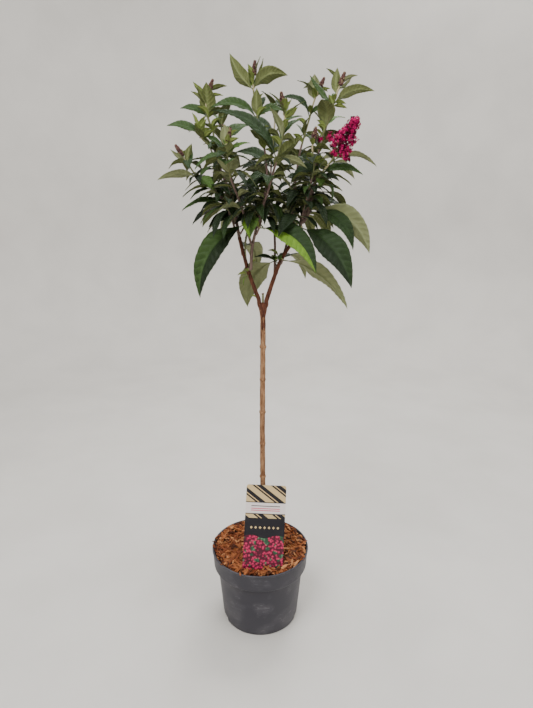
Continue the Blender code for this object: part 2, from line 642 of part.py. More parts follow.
def drop_scraps(mesh):
    """Keeps the largest body that faces joined by edges make. True if each of its edges has two faces."""
    shape = bmesh.new()
    shape.from_mesh(mesh)
    bmesh.ops.dissolve_degenerate(shape, dist=0.0000005, edges=shape.edges)
    left, bodies = dict.fromkeys(shape.faces), []
    while left:
        queue, body = [left.popitem()[0]], []
        while queue:
            face = queue.pop()
            body.append(face)
            for edge in face.edges:
                for other in edge.link_faces:
                    if other in left:
                        del left[other]
                        queue.append(other)
        bodies.append(body)
    bodies.sort(key=len)
    scraps = [face for body in bodies[:-1] for face in body]
    bmesh.ops.delete(shape, geom=scraps, context="FACES")
    bmesh.ops.delete(shape, geom=[vert for vert in shape.verts if not vert.link_faces], context="VERTS")
    whole = all(len(edge.link_faces) == 2 for edge in shape.edges)
    fans = sum(len(vert.link_edges) != len(vert.link_faces) for vert in shape.verts)
    shape.to_mesh(mesh)
    shape.free()
    return whole and not fans


def turned(name, profile, sides, collection, finish):
    """A solid of revolution: a profile at +X, down its outer side, with a Screw modifier."""
    mesh = bpy.data.meshes.new(name)
    mesh.from_pydata([(radius, 0, height) for radius, height in profile],
                     [(i, i + 1) for i in range(len(profile) - 1)], [])
    made = new_object(name, mesh, collection, finish)
    screw = made.modifiers.new("turn", "SCREW")
    screw.steps = screw.render_steps = sides
    screw.use_merge_vertices = True
    screw.merge_threshold = 0.0001
    screw.use_smooth_shade = True
    return made


def wall_radius(height):
    """Outer radius of the pot's plain wall at a height."""
    under_rim = RIM_RADIUS - 0.0024 - RIM_STEP
    return FOOT_RADIUS + (under_rim - FOOT_RADIUS) * height / (POT_HEIGHT - RIM_HEIGHT)


def build_pot(collection, cutters):
    """The pot: floor, sloping wall, stepped rim with a rolled lip, and drain slots round its foot."""
    rim_foot = POT_HEIGHT - RIM_HEIGHT
    inner = wall_radius(rim_foot) - WALL
    profile = [
        (0, FLOOR),
        (wall_radius(FLOOR) - WALL, FLOOR),
        (inner, rim_foot),
        (RIM_RADIUS - 0.0024 - WALL, rim_foot + 0.006),
        (RIM_RADIUS - LIP, POT_HEIGHT - 0.001),
        (RIM_RADIUS - 0.0022, POT_HEIGHT),
        (RIM_RADIUS - 0.0008, POT_HEIGHT),
        (RIM_RADIUS, POT_HEIGHT - 0.0012),
        (RIM_RADIUS - 0.0002, POT_HEIGHT - 0.0040),
        (RIM_RADIUS - 0.0012, POT_HEIGHT - 0.0046),
        (RIM_RADIUS - 0.0030, rim_foot + 0.001),
        (RIM_RADIUS - 0.0036, rim_foot),
        (wall_radius(rim_foot), rim_foot - 0.0015),
        (FOOT_RADIUS, 0.0015),
        (FOOT_RADIUS - 0.0015, 0),
        (0, 0),
    ]
    pot = turned("pot", profile, POT_SIDES, collection, "pot_plastic")
    shape = bmesh.new()
    for number in range(SLOT_COUNT):
        turn = Matrix.Rotation(math.radians(SLOT_TURN + 360 * number / SLOT_COUNT), 4, "Z")
        place = Matrix.Translation((FOOT_RADIUS - 0.004, 0, 0))
        size = Matrix.Diagonal((SLOT_DEPTH, SLOT_WIDTH, 2 * SLOT_HEIGHT, 1))
        bmesh.ops.create_cube(shape, size=1, matrix=turn @ place @ size)
    mesh = bpy.data.meshes.new("drain_slots")
    shape.to_mesh(mesh)
    shape.free()
    cut(pot, new_object("drain_slots", mesh, cutters))


def cut(target, cutter):
    """Cuts a hidden cutter out of the target."""
    cutter.hide_render = True
    cutter.display_type = "WIRE"
    difference = target.modifiers.new("cut_" + cutter.name, "BOOLEAN")
    difference.operation = "DIFFERENCE"
    difference.object = cutter
    difference.solver = "EXACT"


def build_fill(collection, cutters):
    """The root ball's soil and the rippled layer of bark mulch over it, both clear of the pot."""
    inside = wall_radius(FLOOR) - WALL - GAP - 0.0002
    rim_foot = POT_HEIGHT - RIM_HEIGHT
    shoulder = wall_radius(rim_foot) - WALL - GAP - 0.0002
    top = RIM_RADIUS - 0.0024 - WALL - GAP - 0.0006
    base = FLOOR + GAP
    soil = turned("soil", [(0, SOIL_TOP), (shoulder + 0.002, SOIL_TOP), (shoulder, rim_foot - 0.001),
                           (inside, base), (0, base)], FILL_SIDES, collection, "soil")
    rings = [(0, MULCH_TOP)] + [(top * share, MULCH_TOP) for share in (0.2, 0.4, 0.6, 0.8, 0.93)]
    profile = rings + [(top, MULCH_TOP - 0.003), (top - 0.002, SOIL_TOP + GAP), (0, SOIL_TOP + GAP)]
    mulch = turned("mulch", profile, FILL_SIDES, collection, "bark_mulch")
    ripple_top(mulch)
    hole = tool_cylinder("trunk_hole", (TRUNK_X, 0, MULCH_TOP), FLARE_RADIUS + 0.0006, 0.05, cutters)
    cut(mulch, hole)
    spike, deep = SPIKE_WIDTH / 2 + SLOT_ROOM, -SPIKE_LENGTH - SLOT_ROOM
    wide = CARD_WIDTH / 2 + SLOT_ROOM
    outline = [(-spike, deep), (spike, deep), (wide, -0.0045), (wide, 0.030), (-wide, 0.030), (-wide, -0.0045)]
    slot = card_piece("label_slot", outline, CARD_THICK + 2 * SLOT_ROOM, cutters)
    cut(mulch, slot)
    cut(soil, slot)


def ripple_top(mulch):
    """Fixes the turned mesh and moves its top up and down by a sum of waves."""
    bpy.context.view_layer.update()
    graph = bpy.context.evaluated_depsgraph_get()
    mesh = bpy.data.meshes.new_from_object(mulch.evaluated_get(graph))
    mulch.modifiers.clear()
    mulch.data = mesh
    shape = bmesh.new()
    shape.from_mesh(mesh)
    bmesh.ops.recalc_face_normals(shape, faces=shape.faces)
    for vert in shape.verts:
        x, y, height = vert.co
        if height > MULCH_TOP - 0.001:
            wave = math.sin(131 * x + 2.1) * math.cos(117 * y - 0.7) + 0.6 * math.sin(223 * (x + y))
            mound = 1 - (math.hypot(x, y) / RIM_RADIUS)**2
            vert.co.z += MULCH_RIPPLE * wave + 0.002 * mound
    shape.to_mesh(mesh)
    shape.free()


def tool_cylinder(name, middle, radius, depth, cutters):
    """An upright cylinder to cut with."""
    shape = bmesh.new()
    bmesh.ops.create_cone(shape, cap_ends=True, segments=16, radius1=radius, radius2=radius, depth=depth,
                          matrix=Matrix.Translation(middle))
    mesh = bpy.data.meshes.new(name)
    shape.to_mesh(mesh)
    shape.free()
    return new_object(name, mesh, cutters)


def card_place():
    """The card's own axes: x across it, y up its length from where it enters the mulch, z its thickness."""
    tilt, yaw = math.radians(CARD_TILT), math.radians(CARD_YAW)
    top_height = MULCH_TOP + CARD_LENGTH * math.cos(tilt)
    lean_gap = TRUNK_RADIUS + 0.0012 + CARD_THICK
    entry_y = -(lean_gap + CARD_LENGTH * math.sin(tilt)) / math.cos(yaw)
    place = Matrix.Translation((CARD_X, entry_y, top_height - CARD_LENGTH * math.cos(tilt)))
    leaning = Matrix.Rotation(yaw, 4, "Z") @ Matrix.Rotation(math.pi / 2 - tilt, 4, "X")
    return place @ leaning @ Matrix.Rotation(-math.radians(CARD_ROLL), 4, "Z")


def card_piece(name, outline, thick, collection, finish=None):
    """A flat outline in the card's axes, given a thickness, as a mesh."""
    curve = bpy.data.curves.new(name, "CURVE")
    curve.dimensions = "2D"
    curve.fill_mode = "BOTH"
    curve.extrude = thick / 2
    spline = curve.splines.new("POLY")
    spline.points.add(len(outline) - 1)
    spline.points.foreach_set("co", np.array([(x, y, 0, 1) for x, y in outline], float).ravel())
    spline.use_cyclic_u = True
    flat = new_object(name, curve, collection)
    flat.matrix_world = card_place()
    bpy.context.view_layer.update()
    made = tube_to_mesh(flat, collection)
    if finish:
        made.data.materials.append(material(finish))
    return made


def build_label(collection):
    """The plastic label: a card with rounded corners and a pointed spike pushed into the pot."""
    half, corner = CARD_WIDTH / 2, CARD_CORNER
    outline = [(-SPIKE_WIDTH / 2, -SPIKE_LENGTH + 0.010), (0, -SPIKE_LENGTH),
               (SPIKE_WIDTH / 2, -SPIKE_LENGTH + 0.010),
               (SPIKE_WIDTH / 2 + 0.002, -0.004), (half, -0.0035)]
    for centre_x, start in ((half - corner, 0), (corner - half, 90)):
        for step in range(4):
            angle = math.radians(start + 30 * step)
            outline.append((centre_x + corner * math.cos(angle),
                            CARD_LENGTH - corner + corner * math.sin(angle)))
    outline += [(-half, -0.0035), (-SPIKE_WIDTH / 2 - 0.002, -0.004)]
    card_piece("plant_label", outline, CARD_THICK, collection, "label_card")


def build_trunk(collection, scraps):
    """The clear stem: a flared foot, swollen rings where leaves once stood, a fork and a dead stub."""
    heights = [SOIL_TOP + GAP, 0.140, 0.155]
    radii = [FLARE_RADIUS, FLARE_RADIUS - 0.0008, TRUNK_RADIUS + 0.0004]
    for ring in RING_HEIGHTS:
        heights += [ring - RING_HALF, ring, ring + RING_HALF]
        radii += [TRUNK_RADIUS, TRUNK_RADIUS + RING_SWELL, TRUNK_RADIUS]
    heights += [FORK_HEIGHT - 0.022, FORK_HEIGHT - 0.008, FORK_HEIGHT]
    radii += [TRUNK_RADIUS, FORK_RADIUS - 0.001, FORK_RADIUS]
    rise = FORK_HEIGHT - SOIL_TOP
    bend = [TRUNK_SWAY * math.sin(9 * height + 1.2) * math.sin(math.pi * (height - SOIL_TOP) / rise)
            for height in heights]
    path = np.array([(TRUNK_X + sway, 0, height) for sway, height in zip(bend, heights)])
    trunk = tube_to_mesh(new_tube("trunk", path, radii, collection, resolution=2), collection)
    trunk.data.materials.append(material("stem_bark"))
    stub_path = np.array([(TRUNK_X, 0.001, FORK_HEIGHT - 0.006),
                          (TRUNK_X, 0.001, FORK_HEIGHT + STUB_LENGTH)])
    tube_to_mesh(new_tube("stub", stub_path, [STUB_RADIUS] * 2, scraps), scraps)
    fuse(trunk, scraps)


def build_shoot(name, stem, leaves, collection, scraps):
    """One mass: a stem with its leaves and bud fused on."""
    path, radii = stem
    twig = tube_to_mesh(new_tube(name, path, radii, collection, resolution=0), collection)
    twig.data.materials.append(material("foliage"))
    for number, (root, heading, leaf) in enumerate(leaves):
        leaf_mesh(f"{name}_leaf_{number}", root, heading, leaf, scraps)
    if SHOOTS[name].bud:
        bud_mesh(name + "_bud", path[-1], unit(path[-1] - path[-2]), scraps)
    fuse(twig, scraps)


def panicle_line(stem):
    """The flower head's axis: its foot clear of the shoot's tip, a short stalk, then even steps to the top."""
    path, _ = stem
    forward, lean = unit(path[-1] - path[-2]), unit(PANICLE_LEAN)
    foot = path[-1] + GAP * forward
    rise = np.linspace(0, PANICLE_STALK + PANICLE_LENGTH, 8)[:, None] * lean
    return np.vstack((foot, foot + 0.004 * forward + rise)), lean


def panicle_reach(share):
    """How far the florets stand out at a share of the head's length."""
    return PANICLE_BASE_RADIUS + (PANICLE_TIP_RADIUS - PANICLE_BASE_RADIUS) * share**0.9


def build_panicle(stem, collection, scraps):
    """The open flower head: a cone of florets that stand out of a smaller core on its stalk."""
    line, lean = panicle_line(stem)
    stalk = stem[1][-1]
    core_radii = (stalk, stalk, 0.009, 0.010, 0.0095, 0.009, 0.008, 0.006, 0.0025)
    core = tube_to_mesh(new_tube("flower_panicle", line, core_radii, collection, resolution=1), collection)
    core.data.materials.append(material("blossom"))
    first = unit(np.cross(lean, (0, 0, 1)))
    second = np.cross(lean, first)
    chance = np.random.default_rng(5)
    for whorl in range(PANICLE_WHORLS):
        share = (whorl + 0.5) / PANICLE_WHORLS
        middle = line[1] + (PANICLE_STALK + 0.002 + PANICLE_LENGTH * 0.93 * share) * lean
        count = round(6.4 - 3 * share)
        for number in range(count):
            turn = 2 * math.pi * (number + 0.5 * (whorl % 2)) / count + chance.uniform(-0.2, 0.2)
            out = unit(math.cos(turn) * first + math.sin(turn) * second + chance.uniform(0.1, 0.45) * lean)
            reach = panicle_reach(share) * chance.uniform(0.88, 1.05)
            floret_mesh(f"floret_{whorl}_{number}", middle, out, reach, scraps)
    fuse(core, scraps)


def floret_mesh(name, middle, out, reach, collection):
    """A floret as an eight-faced kite: a point in the core and a broad outer end."""
    shape = bmesh.new()
    bmesh.ops.create_uvsphere(shape, u_segments=4, v_segments=2, radius=1)
    for vert in shape.verts:
        if vert.co.z < -0.5:
            vert.co.z = -reach / FLORET_RADIUS + 1.6
    turn = Vector(out).to_track_quat("Z", "Y").to_matrix().to_4x4()
    size = Matrix.Diagonal((FLORET_RADIUS, FLORET_RADIUS, FLORET_RADIUS * 0.8, 1))
    centre = Vector(middle) + Vector(out) * (reach - FLORET_RADIUS * 0.8)
    bmesh.ops.transform(shape, matrix=Matrix.Translation(centre) @ turn @ size, verts=shape.verts)
    mesh = bpy.data.meshes.new(name)
    shape.to_mesh(mesh)
    shape.free()
    return new_object(name, mesh, collection)


def new_collection(name):
    """A collection in the scene."""
    made = bpy.data.collections.new(name)
    bpy.context.scene.collection.children.link(made)
    return made


def main():
    for old in list(bpy.data.objects):
        bpy.data.objects.remove(old)
    plant = new_collection("butterfly_bush")
    cutters = new_collection("cutters")
    scraps = new_collection("scraps")
    build_pot(plant, cutters)
    build_fill(plant, cutters)
    build_label(plant)
    build_trunk(plant, scraps)
    limbs = limb_paths()
    for name, (path, radii) in limbs.items():
        new_tube(name, path, radii, plant, "bough_bark")
    stems = shoot_paths(limbs)
    grown = grow_leaves(limbs, stems)
    for name, stem in stems.items():
        build_shoot(name, stem, grown[name], plant, scraps)
    build_panicle(stems[FLOWERING], plant, scraps)


main()
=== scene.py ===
"""Looks of a potted butterfly bush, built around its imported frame.

Metres, +Z up. The origin is the centre of the pot's flat underside. -Y is the front. Headings are
degrees about +Z: 0 is +X, 90 is +Y (the back), 180 is -X and 270 is the front. The crown grows by the
same tables and rule as its solids, and goes on to finer twigs and leaves within the same reach.
"""

import json
import math
from collections import namedtuple
from functools import lru_cache

import bmesh
import bpy
import numpy as np
from bpy.props import FloatProperty, FloatVectorProperty, IntProperty, PointerProperty
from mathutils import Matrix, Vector
from mathutils.bvhtree import BVHTree

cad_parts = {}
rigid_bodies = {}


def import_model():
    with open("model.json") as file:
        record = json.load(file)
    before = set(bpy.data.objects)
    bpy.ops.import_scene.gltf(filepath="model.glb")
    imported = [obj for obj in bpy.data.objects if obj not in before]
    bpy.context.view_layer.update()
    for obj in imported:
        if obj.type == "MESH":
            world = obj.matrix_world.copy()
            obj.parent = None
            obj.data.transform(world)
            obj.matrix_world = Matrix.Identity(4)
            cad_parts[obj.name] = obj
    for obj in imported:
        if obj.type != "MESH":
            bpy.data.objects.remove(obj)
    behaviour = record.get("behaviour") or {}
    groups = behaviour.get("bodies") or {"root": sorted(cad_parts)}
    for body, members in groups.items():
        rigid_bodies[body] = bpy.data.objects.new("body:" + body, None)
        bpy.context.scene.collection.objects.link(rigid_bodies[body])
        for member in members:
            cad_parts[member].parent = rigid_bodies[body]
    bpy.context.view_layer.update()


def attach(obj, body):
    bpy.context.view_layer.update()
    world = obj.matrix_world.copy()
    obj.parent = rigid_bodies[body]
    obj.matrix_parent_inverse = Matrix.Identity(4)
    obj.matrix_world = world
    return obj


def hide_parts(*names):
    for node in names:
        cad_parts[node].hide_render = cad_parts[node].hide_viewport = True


bl_info = {
    "name": "Potted Butterfly Bush",
    "version": (1, 0, 0),
    "blender": (4, 5, 0),
    "location": "3D View > Sidebar > Bush",
    "description": "Builds the looks of a potted butterfly bush around its frame",
    "category": "Object",
}

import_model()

# Sizes shared with the solids
POT_HEIGHT = 0.150
RIM_RADIUS = 0.095
RIM_HEIGHT = 0.036
RIM_STEP = 0.0080
RIM_BULGE = 0.0024
FOOT_RADIUS = 0.0746
WALL = 0.0016
LIP = 0.0030
FLOOR = 0.0020
SLOT_TURNS = (90, 202, 343)
SLOT_WIDTH = 0.023
SLOT_HEIGHT = 0.009
SLOT_DEPTH = 0.016
SOIL_TOP = 0.128
MULCH_TOP = 0.1415
PERCHED_AT = (166, 175, 183, 221, 247)
PERCHED_OUT = 0.0925
MULCH_RIPPLE = 0.0022
GAP = 0.0003
MM = 0.001
SHARP_ANGLE = math.radians(38)
GOLDEN_TURN = 2.399
FLOWER_SEED = 909
LEAF_SEED = 404
FINE_SEED = 77
MULCH_SEED = 31

TRUNK_X = 0.006
FORK_HEIGHT = 0.634
TRUNK_RADIUS = 0.0049
TRUNK_SWAY = 0.0012
FLARE_RADIUS = 0.0078
FORK_RADIUS = 0.0083
RING_HEIGHTS = (0.185, 0.245, 0.303, 0.372, 0.435, 0.499, 0.560)
RING_SWELL = 0.0014
STUB_RADIUS = 0.0017
STUB_LENGTH = 0.021

CARD_WIDTH = 0.076
CARD_LENGTH = 0.158
CARD_THICK = 0.0009
CARD_CORNER = 0.004
CARD_TILT = 22.5
CARD_YAW = 4.0
CARD_ROLL = 4.6
CARD_X = 0.0045
SPIKE_WIDTH = 0.016
SPIKE_LENGTH = 0.033

CLEARANCE = 0.0003
LEAF_THICK_SHARE = 0.0115
LEAF_THICK_LEAST = 0.0007
LEAF_FOLD = 0.26
FINE_THICKNESS = 0.0004
PETIOLE_SHARE = 0.085
PETIOLE_HALF = 0.0011
WIDEST_POWERS = (0.72, 1.12)
SMALL_LEAF = 0.036
VEIN_HALF = 0.00026
RIB_HALF = 0.00042
SEAT_DEPTH = 0.0004
MIDDLE_BLADE = 0.034
LONG_BLADE = 0.062
BARE_BELOW = 0.785
YOUNG_ABOVE = 0.880
LARGE_LEAF = 0.075
BUD_LENGTH = 0.020
BUD_RADIUS = 0.0034
TWIG_TIP_RADIUS = 0.0012
SIDE_TWIG_RADIUS = 0.0016

FLOWERING = "leaves_flower_shoot"
PANICLE_LEAN = (0.50, -0.13, 0.86)
PANICLE_STALK = 0.010
PANICLE_LENGTH = 0.064
PANICLE_BASE_RADIUS = 0.0265
PANICLE_TIP_RADIUS = 0.0095
CYMES = 56
PANICLE_BUDS = 150
CONE_BUDS = 150

Limb = namedtuple("Limb", "parent height heading points radius tip_radius")
Shoot = namedtuple("Shoot", "limb height heading points pairs fill tuft bud", defaults=(None, 0, False))
Leaf = namedtuple("Leaf", "out up bow width roll", defaults=(0,))

# These tables are in millimetres. A limb leaves its parent's side at a height, towards a heading, and
# runs through its points. With no parent it stands on the fork.
LIMBS = {
    "bough_left": Limb(None, 0, 180, ((0.2, 0, 641), (-18, 0, 691), (-33, 2, 748), (-39, 5, 782)), 3.7, 2.6),
    "bough_right": Limb(None, 0, 0, ((11.8, 0, 641), (36, 0, 710), (62, -5, 752), (75, -11, 790)), 3.9, 2.5),
    "branch_centre": Limb("bough_left", 697, 320, ((-11, -6, 738), (2, -20, 788), (6, -22, 800)), 2.7, 2.1),
    "branch_top": Limb("branch_centre", 768, 40, ((6, -9, 796), (10, -5, 820)), 2.1, 1.9),
    "branch_front_left": Limb("branch_centre", 742, 235, ((-19, -18, 762), (-23, -28, 784)), 2.1, 1.9),
    "branch_left_low": Limb("bough_left", 766, 215, ((-49, -4, 793), (-60, -8, 812)), 1.9, 1.7),
    "branch_right_inner": Limb("bough_right", 716, 75, ((49, 14, 748), (55, 21, 790)), 2.3, 2.0),
    "branch_right_high": Limb("bough_right", 776, 45, ((83, -3, 800), (87, -3, 815)), 2.0, 1.8),
    "branch_back_left": Limb("bough_left", 730, 100, ((-38, 28, 768), (-44, 42, 796)), 2.2, 1.9),
    "branch_back": Limb("bough_right", 690, 105, ((27, 28, 742), (24, 46, 780)), 2.2, 1.9),
    "branch_back_right": Limb("bough_right", 757, 70, ((72, 24, 784), (76, 34, 800)), 2.1, 1.9),
}

# A shoot's stem grows from its limb's tip, or from the limb's side at a height and heading. A pair of
# leaves stands at a height, the first towards a heading and the second opposite. A leaf's tip lies out
# and up from its root. Its bow is the rise of its middle over that line, in hundredths of it, and its
# roll lifts its left edge, as seen from its root, in degrees. A fill is a number of pairs made by rule,
# the heights that they keep between, and their leaves' length.
SHOOTS = {
    "leaves_top": Shoot("branch_top", 0, 0, (
        (13, -3, 850), (9, 0, 890), (-1, 1, 917), (-2, 0, 936), (-8, 0, 976), (-7, 0, 1000)), (
        (917, 300, (44, -34, 12, 16), (30, 12, 20, 14)),
        (934, 182, (75, 15, 20, 21, -48), (43, 10, 22, 22, 40)),
        (937, 268, (12, 40, 4, 17), (50, 30, 25, 18)),
        (976, 180, (37, 52, -6, 24, 52), (54, 19, 22, 26, -52)),
        (980, 190, (15, 18, 10, 6), (27, 28, -5, 6)),
        (983, 170, (8, 20, 5, 6), (12, 40, 4, 7))), (3, 835, 898, 50), 18, True),
    "leaves_left_high": Shoot("bough_left", 0, 0, (
        (-50, 5, 823), (-71, 15, 883), (-75, 20, 920), (-83, 20, 939), (-85, 20, 965), (-80, 20, 979)), (
        (883, 60, (45, 10, 20, 18), (35, 0, 25, 14)),
        (920, 5, (26, 24, 12, 9, 20), (40, -4, 10, 9, -10)),
        (937, 183, (46, 15, 15, 17, -50), (30, 10, 20, 14, 40)),
        (940, 268, (10, 50, 3, 26), (35, 30, 20, 18)),
        (958, 190, (19, 24, 0, 6), (14, 14, 20, 6)),
        (966, 175, (17, 20, 0, 6), (12, 6, 20, 6))), (3, 800, 870, 52), 16, True),
    "leaves_left_mid": Shoot("bough_left", 774, 165, (
        (-58, 9, 830), (-78, 10, 889), (-94, 10, 909), (-99, 10, 928)), (
        (904, 200, (25, 16, 10, 9, -10), (18, 10, 10, 8)),
        (909, 181, (56, 16, 14, 18, -50), (36, -21, 12, 12, 40)),
        (920, 185, (10, 22, 5, 6), (14, 20, 10, 6))), (3, 820, 890, 44), 18, False),
    "leaves_left_low": Shoot("branch_left_low", 0, 0, (
        (-75, -10, 828), (-98, -10, 845), (-111, -10, 862), (-123, -10, 880)), (
        (815, 265, (14, -32, 30, 15), (34, 10, 20, 15)),
        (827, 190, (38, -16, 15, 14, -20), (40, 5, 20, 18)),
        (843, 225, (30, -18, 5, 6), (40, 20, 15, 14)),
        (846, 184, (66, -5, 12, 16, 48), (30, -22, 10, 20, 45)),
        (862, 80, (8, 34, 3, 9), (12, 14, 20, 7)),
        (866, 180, (28, 22, -5, 10, -20), (10, 26, 0, 11, -30))), (1, 816, 822, 44), 12, True),
    "leaves_front_left": Shoot("branch_front_left", 0, 0, (
        (-34, -40, 818), (-43, -50, 843), (-47, -60, 873), (-49, -60, 887), (-46, -60, 897)), (
        (843, 262, (38, 22, 38, 32), (45, 15, 20, 20)),
        (870, 310, (24, 12, 30, 18, 30), (30, 10, 20, 14)),
        (874, 182, (50, -20, 15, 14, -35), (36, 18, 15, 10, 35)),
        (886, 265, (8, 32, 4, 13), (15, 28, 10, 10)),
        (890, 170, (12, 16, 20, 6), (14, 18, 25, 6))), (3, 794, 832, 44), 10, True),
    "leaves_front": Shoot("branch_centre", 0, 0, (
        (15, -30, 826), (20, -40, 843), (28, -50, 869), (36, -50, 899), (40, -50, 923), (37, -50, 947)), (
        (842, 200, (36, -22, 28, 23, -45), (26, 2, 20, 13, 40)),
        (869, 178, (98, 70, 18, 22, -50), (39, 32, 5, 20, -50)),
        (896, 330, (25, -8, 35, 12), (30, 10, 20, 12)),
        (900, 215, (24, 42, 8, 18), (36, 28, 12, 14, 20)),
        (926, 178, (33, 12, 45, 8, -20), (20, 16, 5, 9, -20)),
        (936, 270, (8, 16, 20, 6), (12, 18, 10, 6))), (2, 812, 858, 46), 12, True),
    "leaves_right_inner": Shoot("branch_right_inner", 0, 0, (
        (59, 25, 822), (67, 30, 881), (76, 30, 916), (83, 30, 940), (90, 30, 966), (98, 30, 984)), (
        (940, 182, (50, 29, 24, 15, -45), (28, 22, 10, 14, 30)),
        (966, 262, (8, 38, 3, 22), (25, 25, 15, 14)),
        (975, 183, (27, 12, 25, 7), (22, 5, 30, 6))), (4, 806, 912, 54), 14, True),
    "leaves_right_high": Shoot("branch_right_high", 0, 0, (
        (90, -4, 829), (93, 0, 865), (103, 0, 912), (107, 0, 921),
        (117, 0, 953), (122, 0, 969), (128, 0, 985)), (
        (917, 190, (12, 8, 20, 8), (25, 22, 15, 14, 20)),
        (922, 250, (30, 36, 25, 28), (35, 20, 20, 18)),
        (953, 182, (38, 44, -4, 16, -45), (67, 22, 14, 19, -50)),
        (957, 170, (8, 12, 0, 6), (20, -2, 10, 6)),
        (969, 268, (6, 38, 2, 15), (10, 30, 10, 12)),
        (976, 185, (17, 26, 20, 6), (23, 20, -8, 6))), (3, 830, 900, 50), 14, True),
    "leaves_flower_shoot": Shoot("bough_right", 0, 0, (
        (78, -15, 803), (87, -20, 829), (97, -30, 848), (106, -34, 860), (111, -38, 866)), (
        (812, 75, (50, 0, 20, 20), (35, -15, 20, 16)),
        (829, 340, (30, -24, 50, 25), (40, 5, 20, 18)),
        (844, 285, (10, -14, 30, 12), (45, 10, 20, 16)),
        (848, 357, (68, 0, 18, 18, 45), (50, -11, 28, 24, -50)),
        (859, 33, (84, -6, 16, 17, -45), (18, 10, 10, 8)))),
    "leaves_right_small": Shoot("bough_right", 782, 250, (
        (79, -28, 820), (87, -35, 859), (83, -40, 885), (85, -40, 900)), (
        (868, 320, (15, -12, 20, 9), (15, 10, 20, 9)),
        (884, 195, (10, 26, 5, 10, -30), (28, 0, 20, 9)),
        (888, 175, (6, 10, 10, 6), (28, 12, 30, 8, 15))), (2, 828, 862, 34), 10, True),
    "leaves_low_left": Shoot("bough_left", 756, 315, ((-20, -11, 775),), (
        (773, 202, (83, -119, 17, 42, -45), (40, 0, 20, 22)),)),
    "leaves_left_inner": Shoot("branch_left_low", 790, 255, ((-50, -14, 800), (-53, -17, 808)), (
        (799, 212, (48, -26, 15, 11), (30, 0, 20, 14)),
        (805, 186, (74, -12, 13, 19, -25), (36, 0, 20, 18)))),
    "leaves_low_middle": Shoot("branch_centre", 765, 250, ((-9, -25, 782),), (
        (780, 262, (36, -28, 30, 28), (30, 10, 20, 16)),)),
    "leaves_low_front": Shoot("branch_centre", 758, 300, ((2, -28, 769),), (
        (767, 325, (108, -66, 15, 40, 35), (36, 0, 20, 22)),)),
    "leaves_centre": Shoot("branch_top", 798, 60, ((18, 3, 812),), (
        (805, 128, (24, -78, 22, 28, 20), (34, -34, 25, 24, -20)),
        (810, 90, (60, -20, 20, 22), (34, -20, 30, 20)))),
    "leaves_low_right": Shoot("bough_right", 708, 300, ((40, -10, 715),), (
        (713, 340, (114, -76, 15, 36, -55), (36, 2, 12, 16, -30)),)),
    "leaves_low_back": Shoot("bough_right", 702, 150, ((26, 9, 712),), (
        (708, 80, (100, -40, 25, 32), (20, 5, 20, 12)),
        (710, 158, (52, -84, 20, 46, 50), (45, 0, 20, 24)))),
    "leaves_middle": Shoot("bough_right", 738, 225, ((49, -18, 765), (49, -20, 776)), (
        (764, 305, (34, -40, 25, 16), (40, -10, 20, 20)),
        (772, 215, (32, -10, 25, 18, -20), (36, -20, 20, 16)))),
    "leaves_right_low": Shoot("bough_right", 757, 300, ((71, -20, 769),), (
        (766, 322, (98, -90, 16, 44, 40), (36, 0, 20, 22)),)),
    "leaves_right_mid": Shoot("bough_right", 780, 330, ((88, -15, 800),), (
        (792, 325, (74, -70, 20, 30, 40), (40, 0, 20, 22)),
        (798, 5, (100, -74, 14, 38, -60), (30, 6, 20, 16)))),
    "leaves_low_rear": Shoot("bough_left", 722, 120, ((-32, 17, 736),), (
        (731, 76, (108, -56, 22, 36), (20, 4, 20, 12)),)),
    "leaves_inner_rear": Shoot("branch_right_inner", 770, 20, ((61, 27, 784),), (
        (779, 40, (95, -50, 22, 30), (30, 5, 20, 16)),)),
    "leaves_back_left": Shoot("branch_back_left", 0, 0, ((-58, 80, 868), (-66, 98, 912), (-68, 104, 938)),
                              (), (6, 802, 930, 92), 28, True),
    "leaves_back": Shoot("branch_back", 0, 0, ((20, 84, 850), (24, 104, 905), (28, 112, 955)),
                         (), (7, 786, 946, 96), 30, True),
    "leaves_back_right": Shoot("branch_back_right", 0, 0, ((96, 68, 862), (108, 84, 905), (114, 90, 932)),
                               (), (5, 806, 924, 90), 28, True),
}

# Finer leaves that have a place, at the shoots' tips, on the bare boughs and at the fork: height, heading
# and the leaf.
PLACED_LEAVES = {
    "leaves_centre": ((798, 188, (30, -86, 14, 26, 10)),),
    "leaves_flower_shoot": ((864, 10, (79, -3, 20, 14, -30)),),
    "leaves_top": ((986, 340, (17, 34, -8, 10)), (984, 7, (32, 24, 14, 6)),
        (991, 213, (11, 21, 5, 6))),
    "leaves_left_high": ((971, 196, (22, 20, -5, 7)), (959, 180, (24, 19, 5, 6)),
        (976, 5, (31, 10, 12, 7)), (966, 350, (28, 3, 12, 5))),
    "leaves_right_high": ((983, 180, (23, 22, 8, 6)), (981, 8, (29, 16, 14, 6)),
        (953, 345, (23, -4, 8, 6)), (955, 205, (9, 14, 5, 7))),
    "leaves_right_inner": ((969, 194, (32, 25, 16, 10)), (978, 0, (21, 6, 10, 5))),
    "leaves_front": ((929, 353, (31, 18, 5, 8)), (930, 194, (25, 28, 12, 9)),
        (932, 25, (12, 23, 5, 8))),
    "leaves_left_mid": ((915, 338, (14, 20, 8, 7)),),
    "leaves_front_left": ((894, 5, (16, 17, 14, 6)), (890, 349, (20, 9, 10, 6))),
    "leaves_left_low": ((867, 331, (10, 29, 5, 9)),),
    "bough_left": ((690, 196, (17, -2, 15, 6, 10)), (687, 225, (11, -15, 20, 7)),
        (693, 250, (9, 5, 20, 6)), (697, 20, (13, 14, 15, 7, -20)), (649, 195, (9, 5, 10, 4))),
    "bough_right": ((706, 188, (40, 10, 12, 15, -20)), (712, 150, (22, 14, 20, 9))),
}

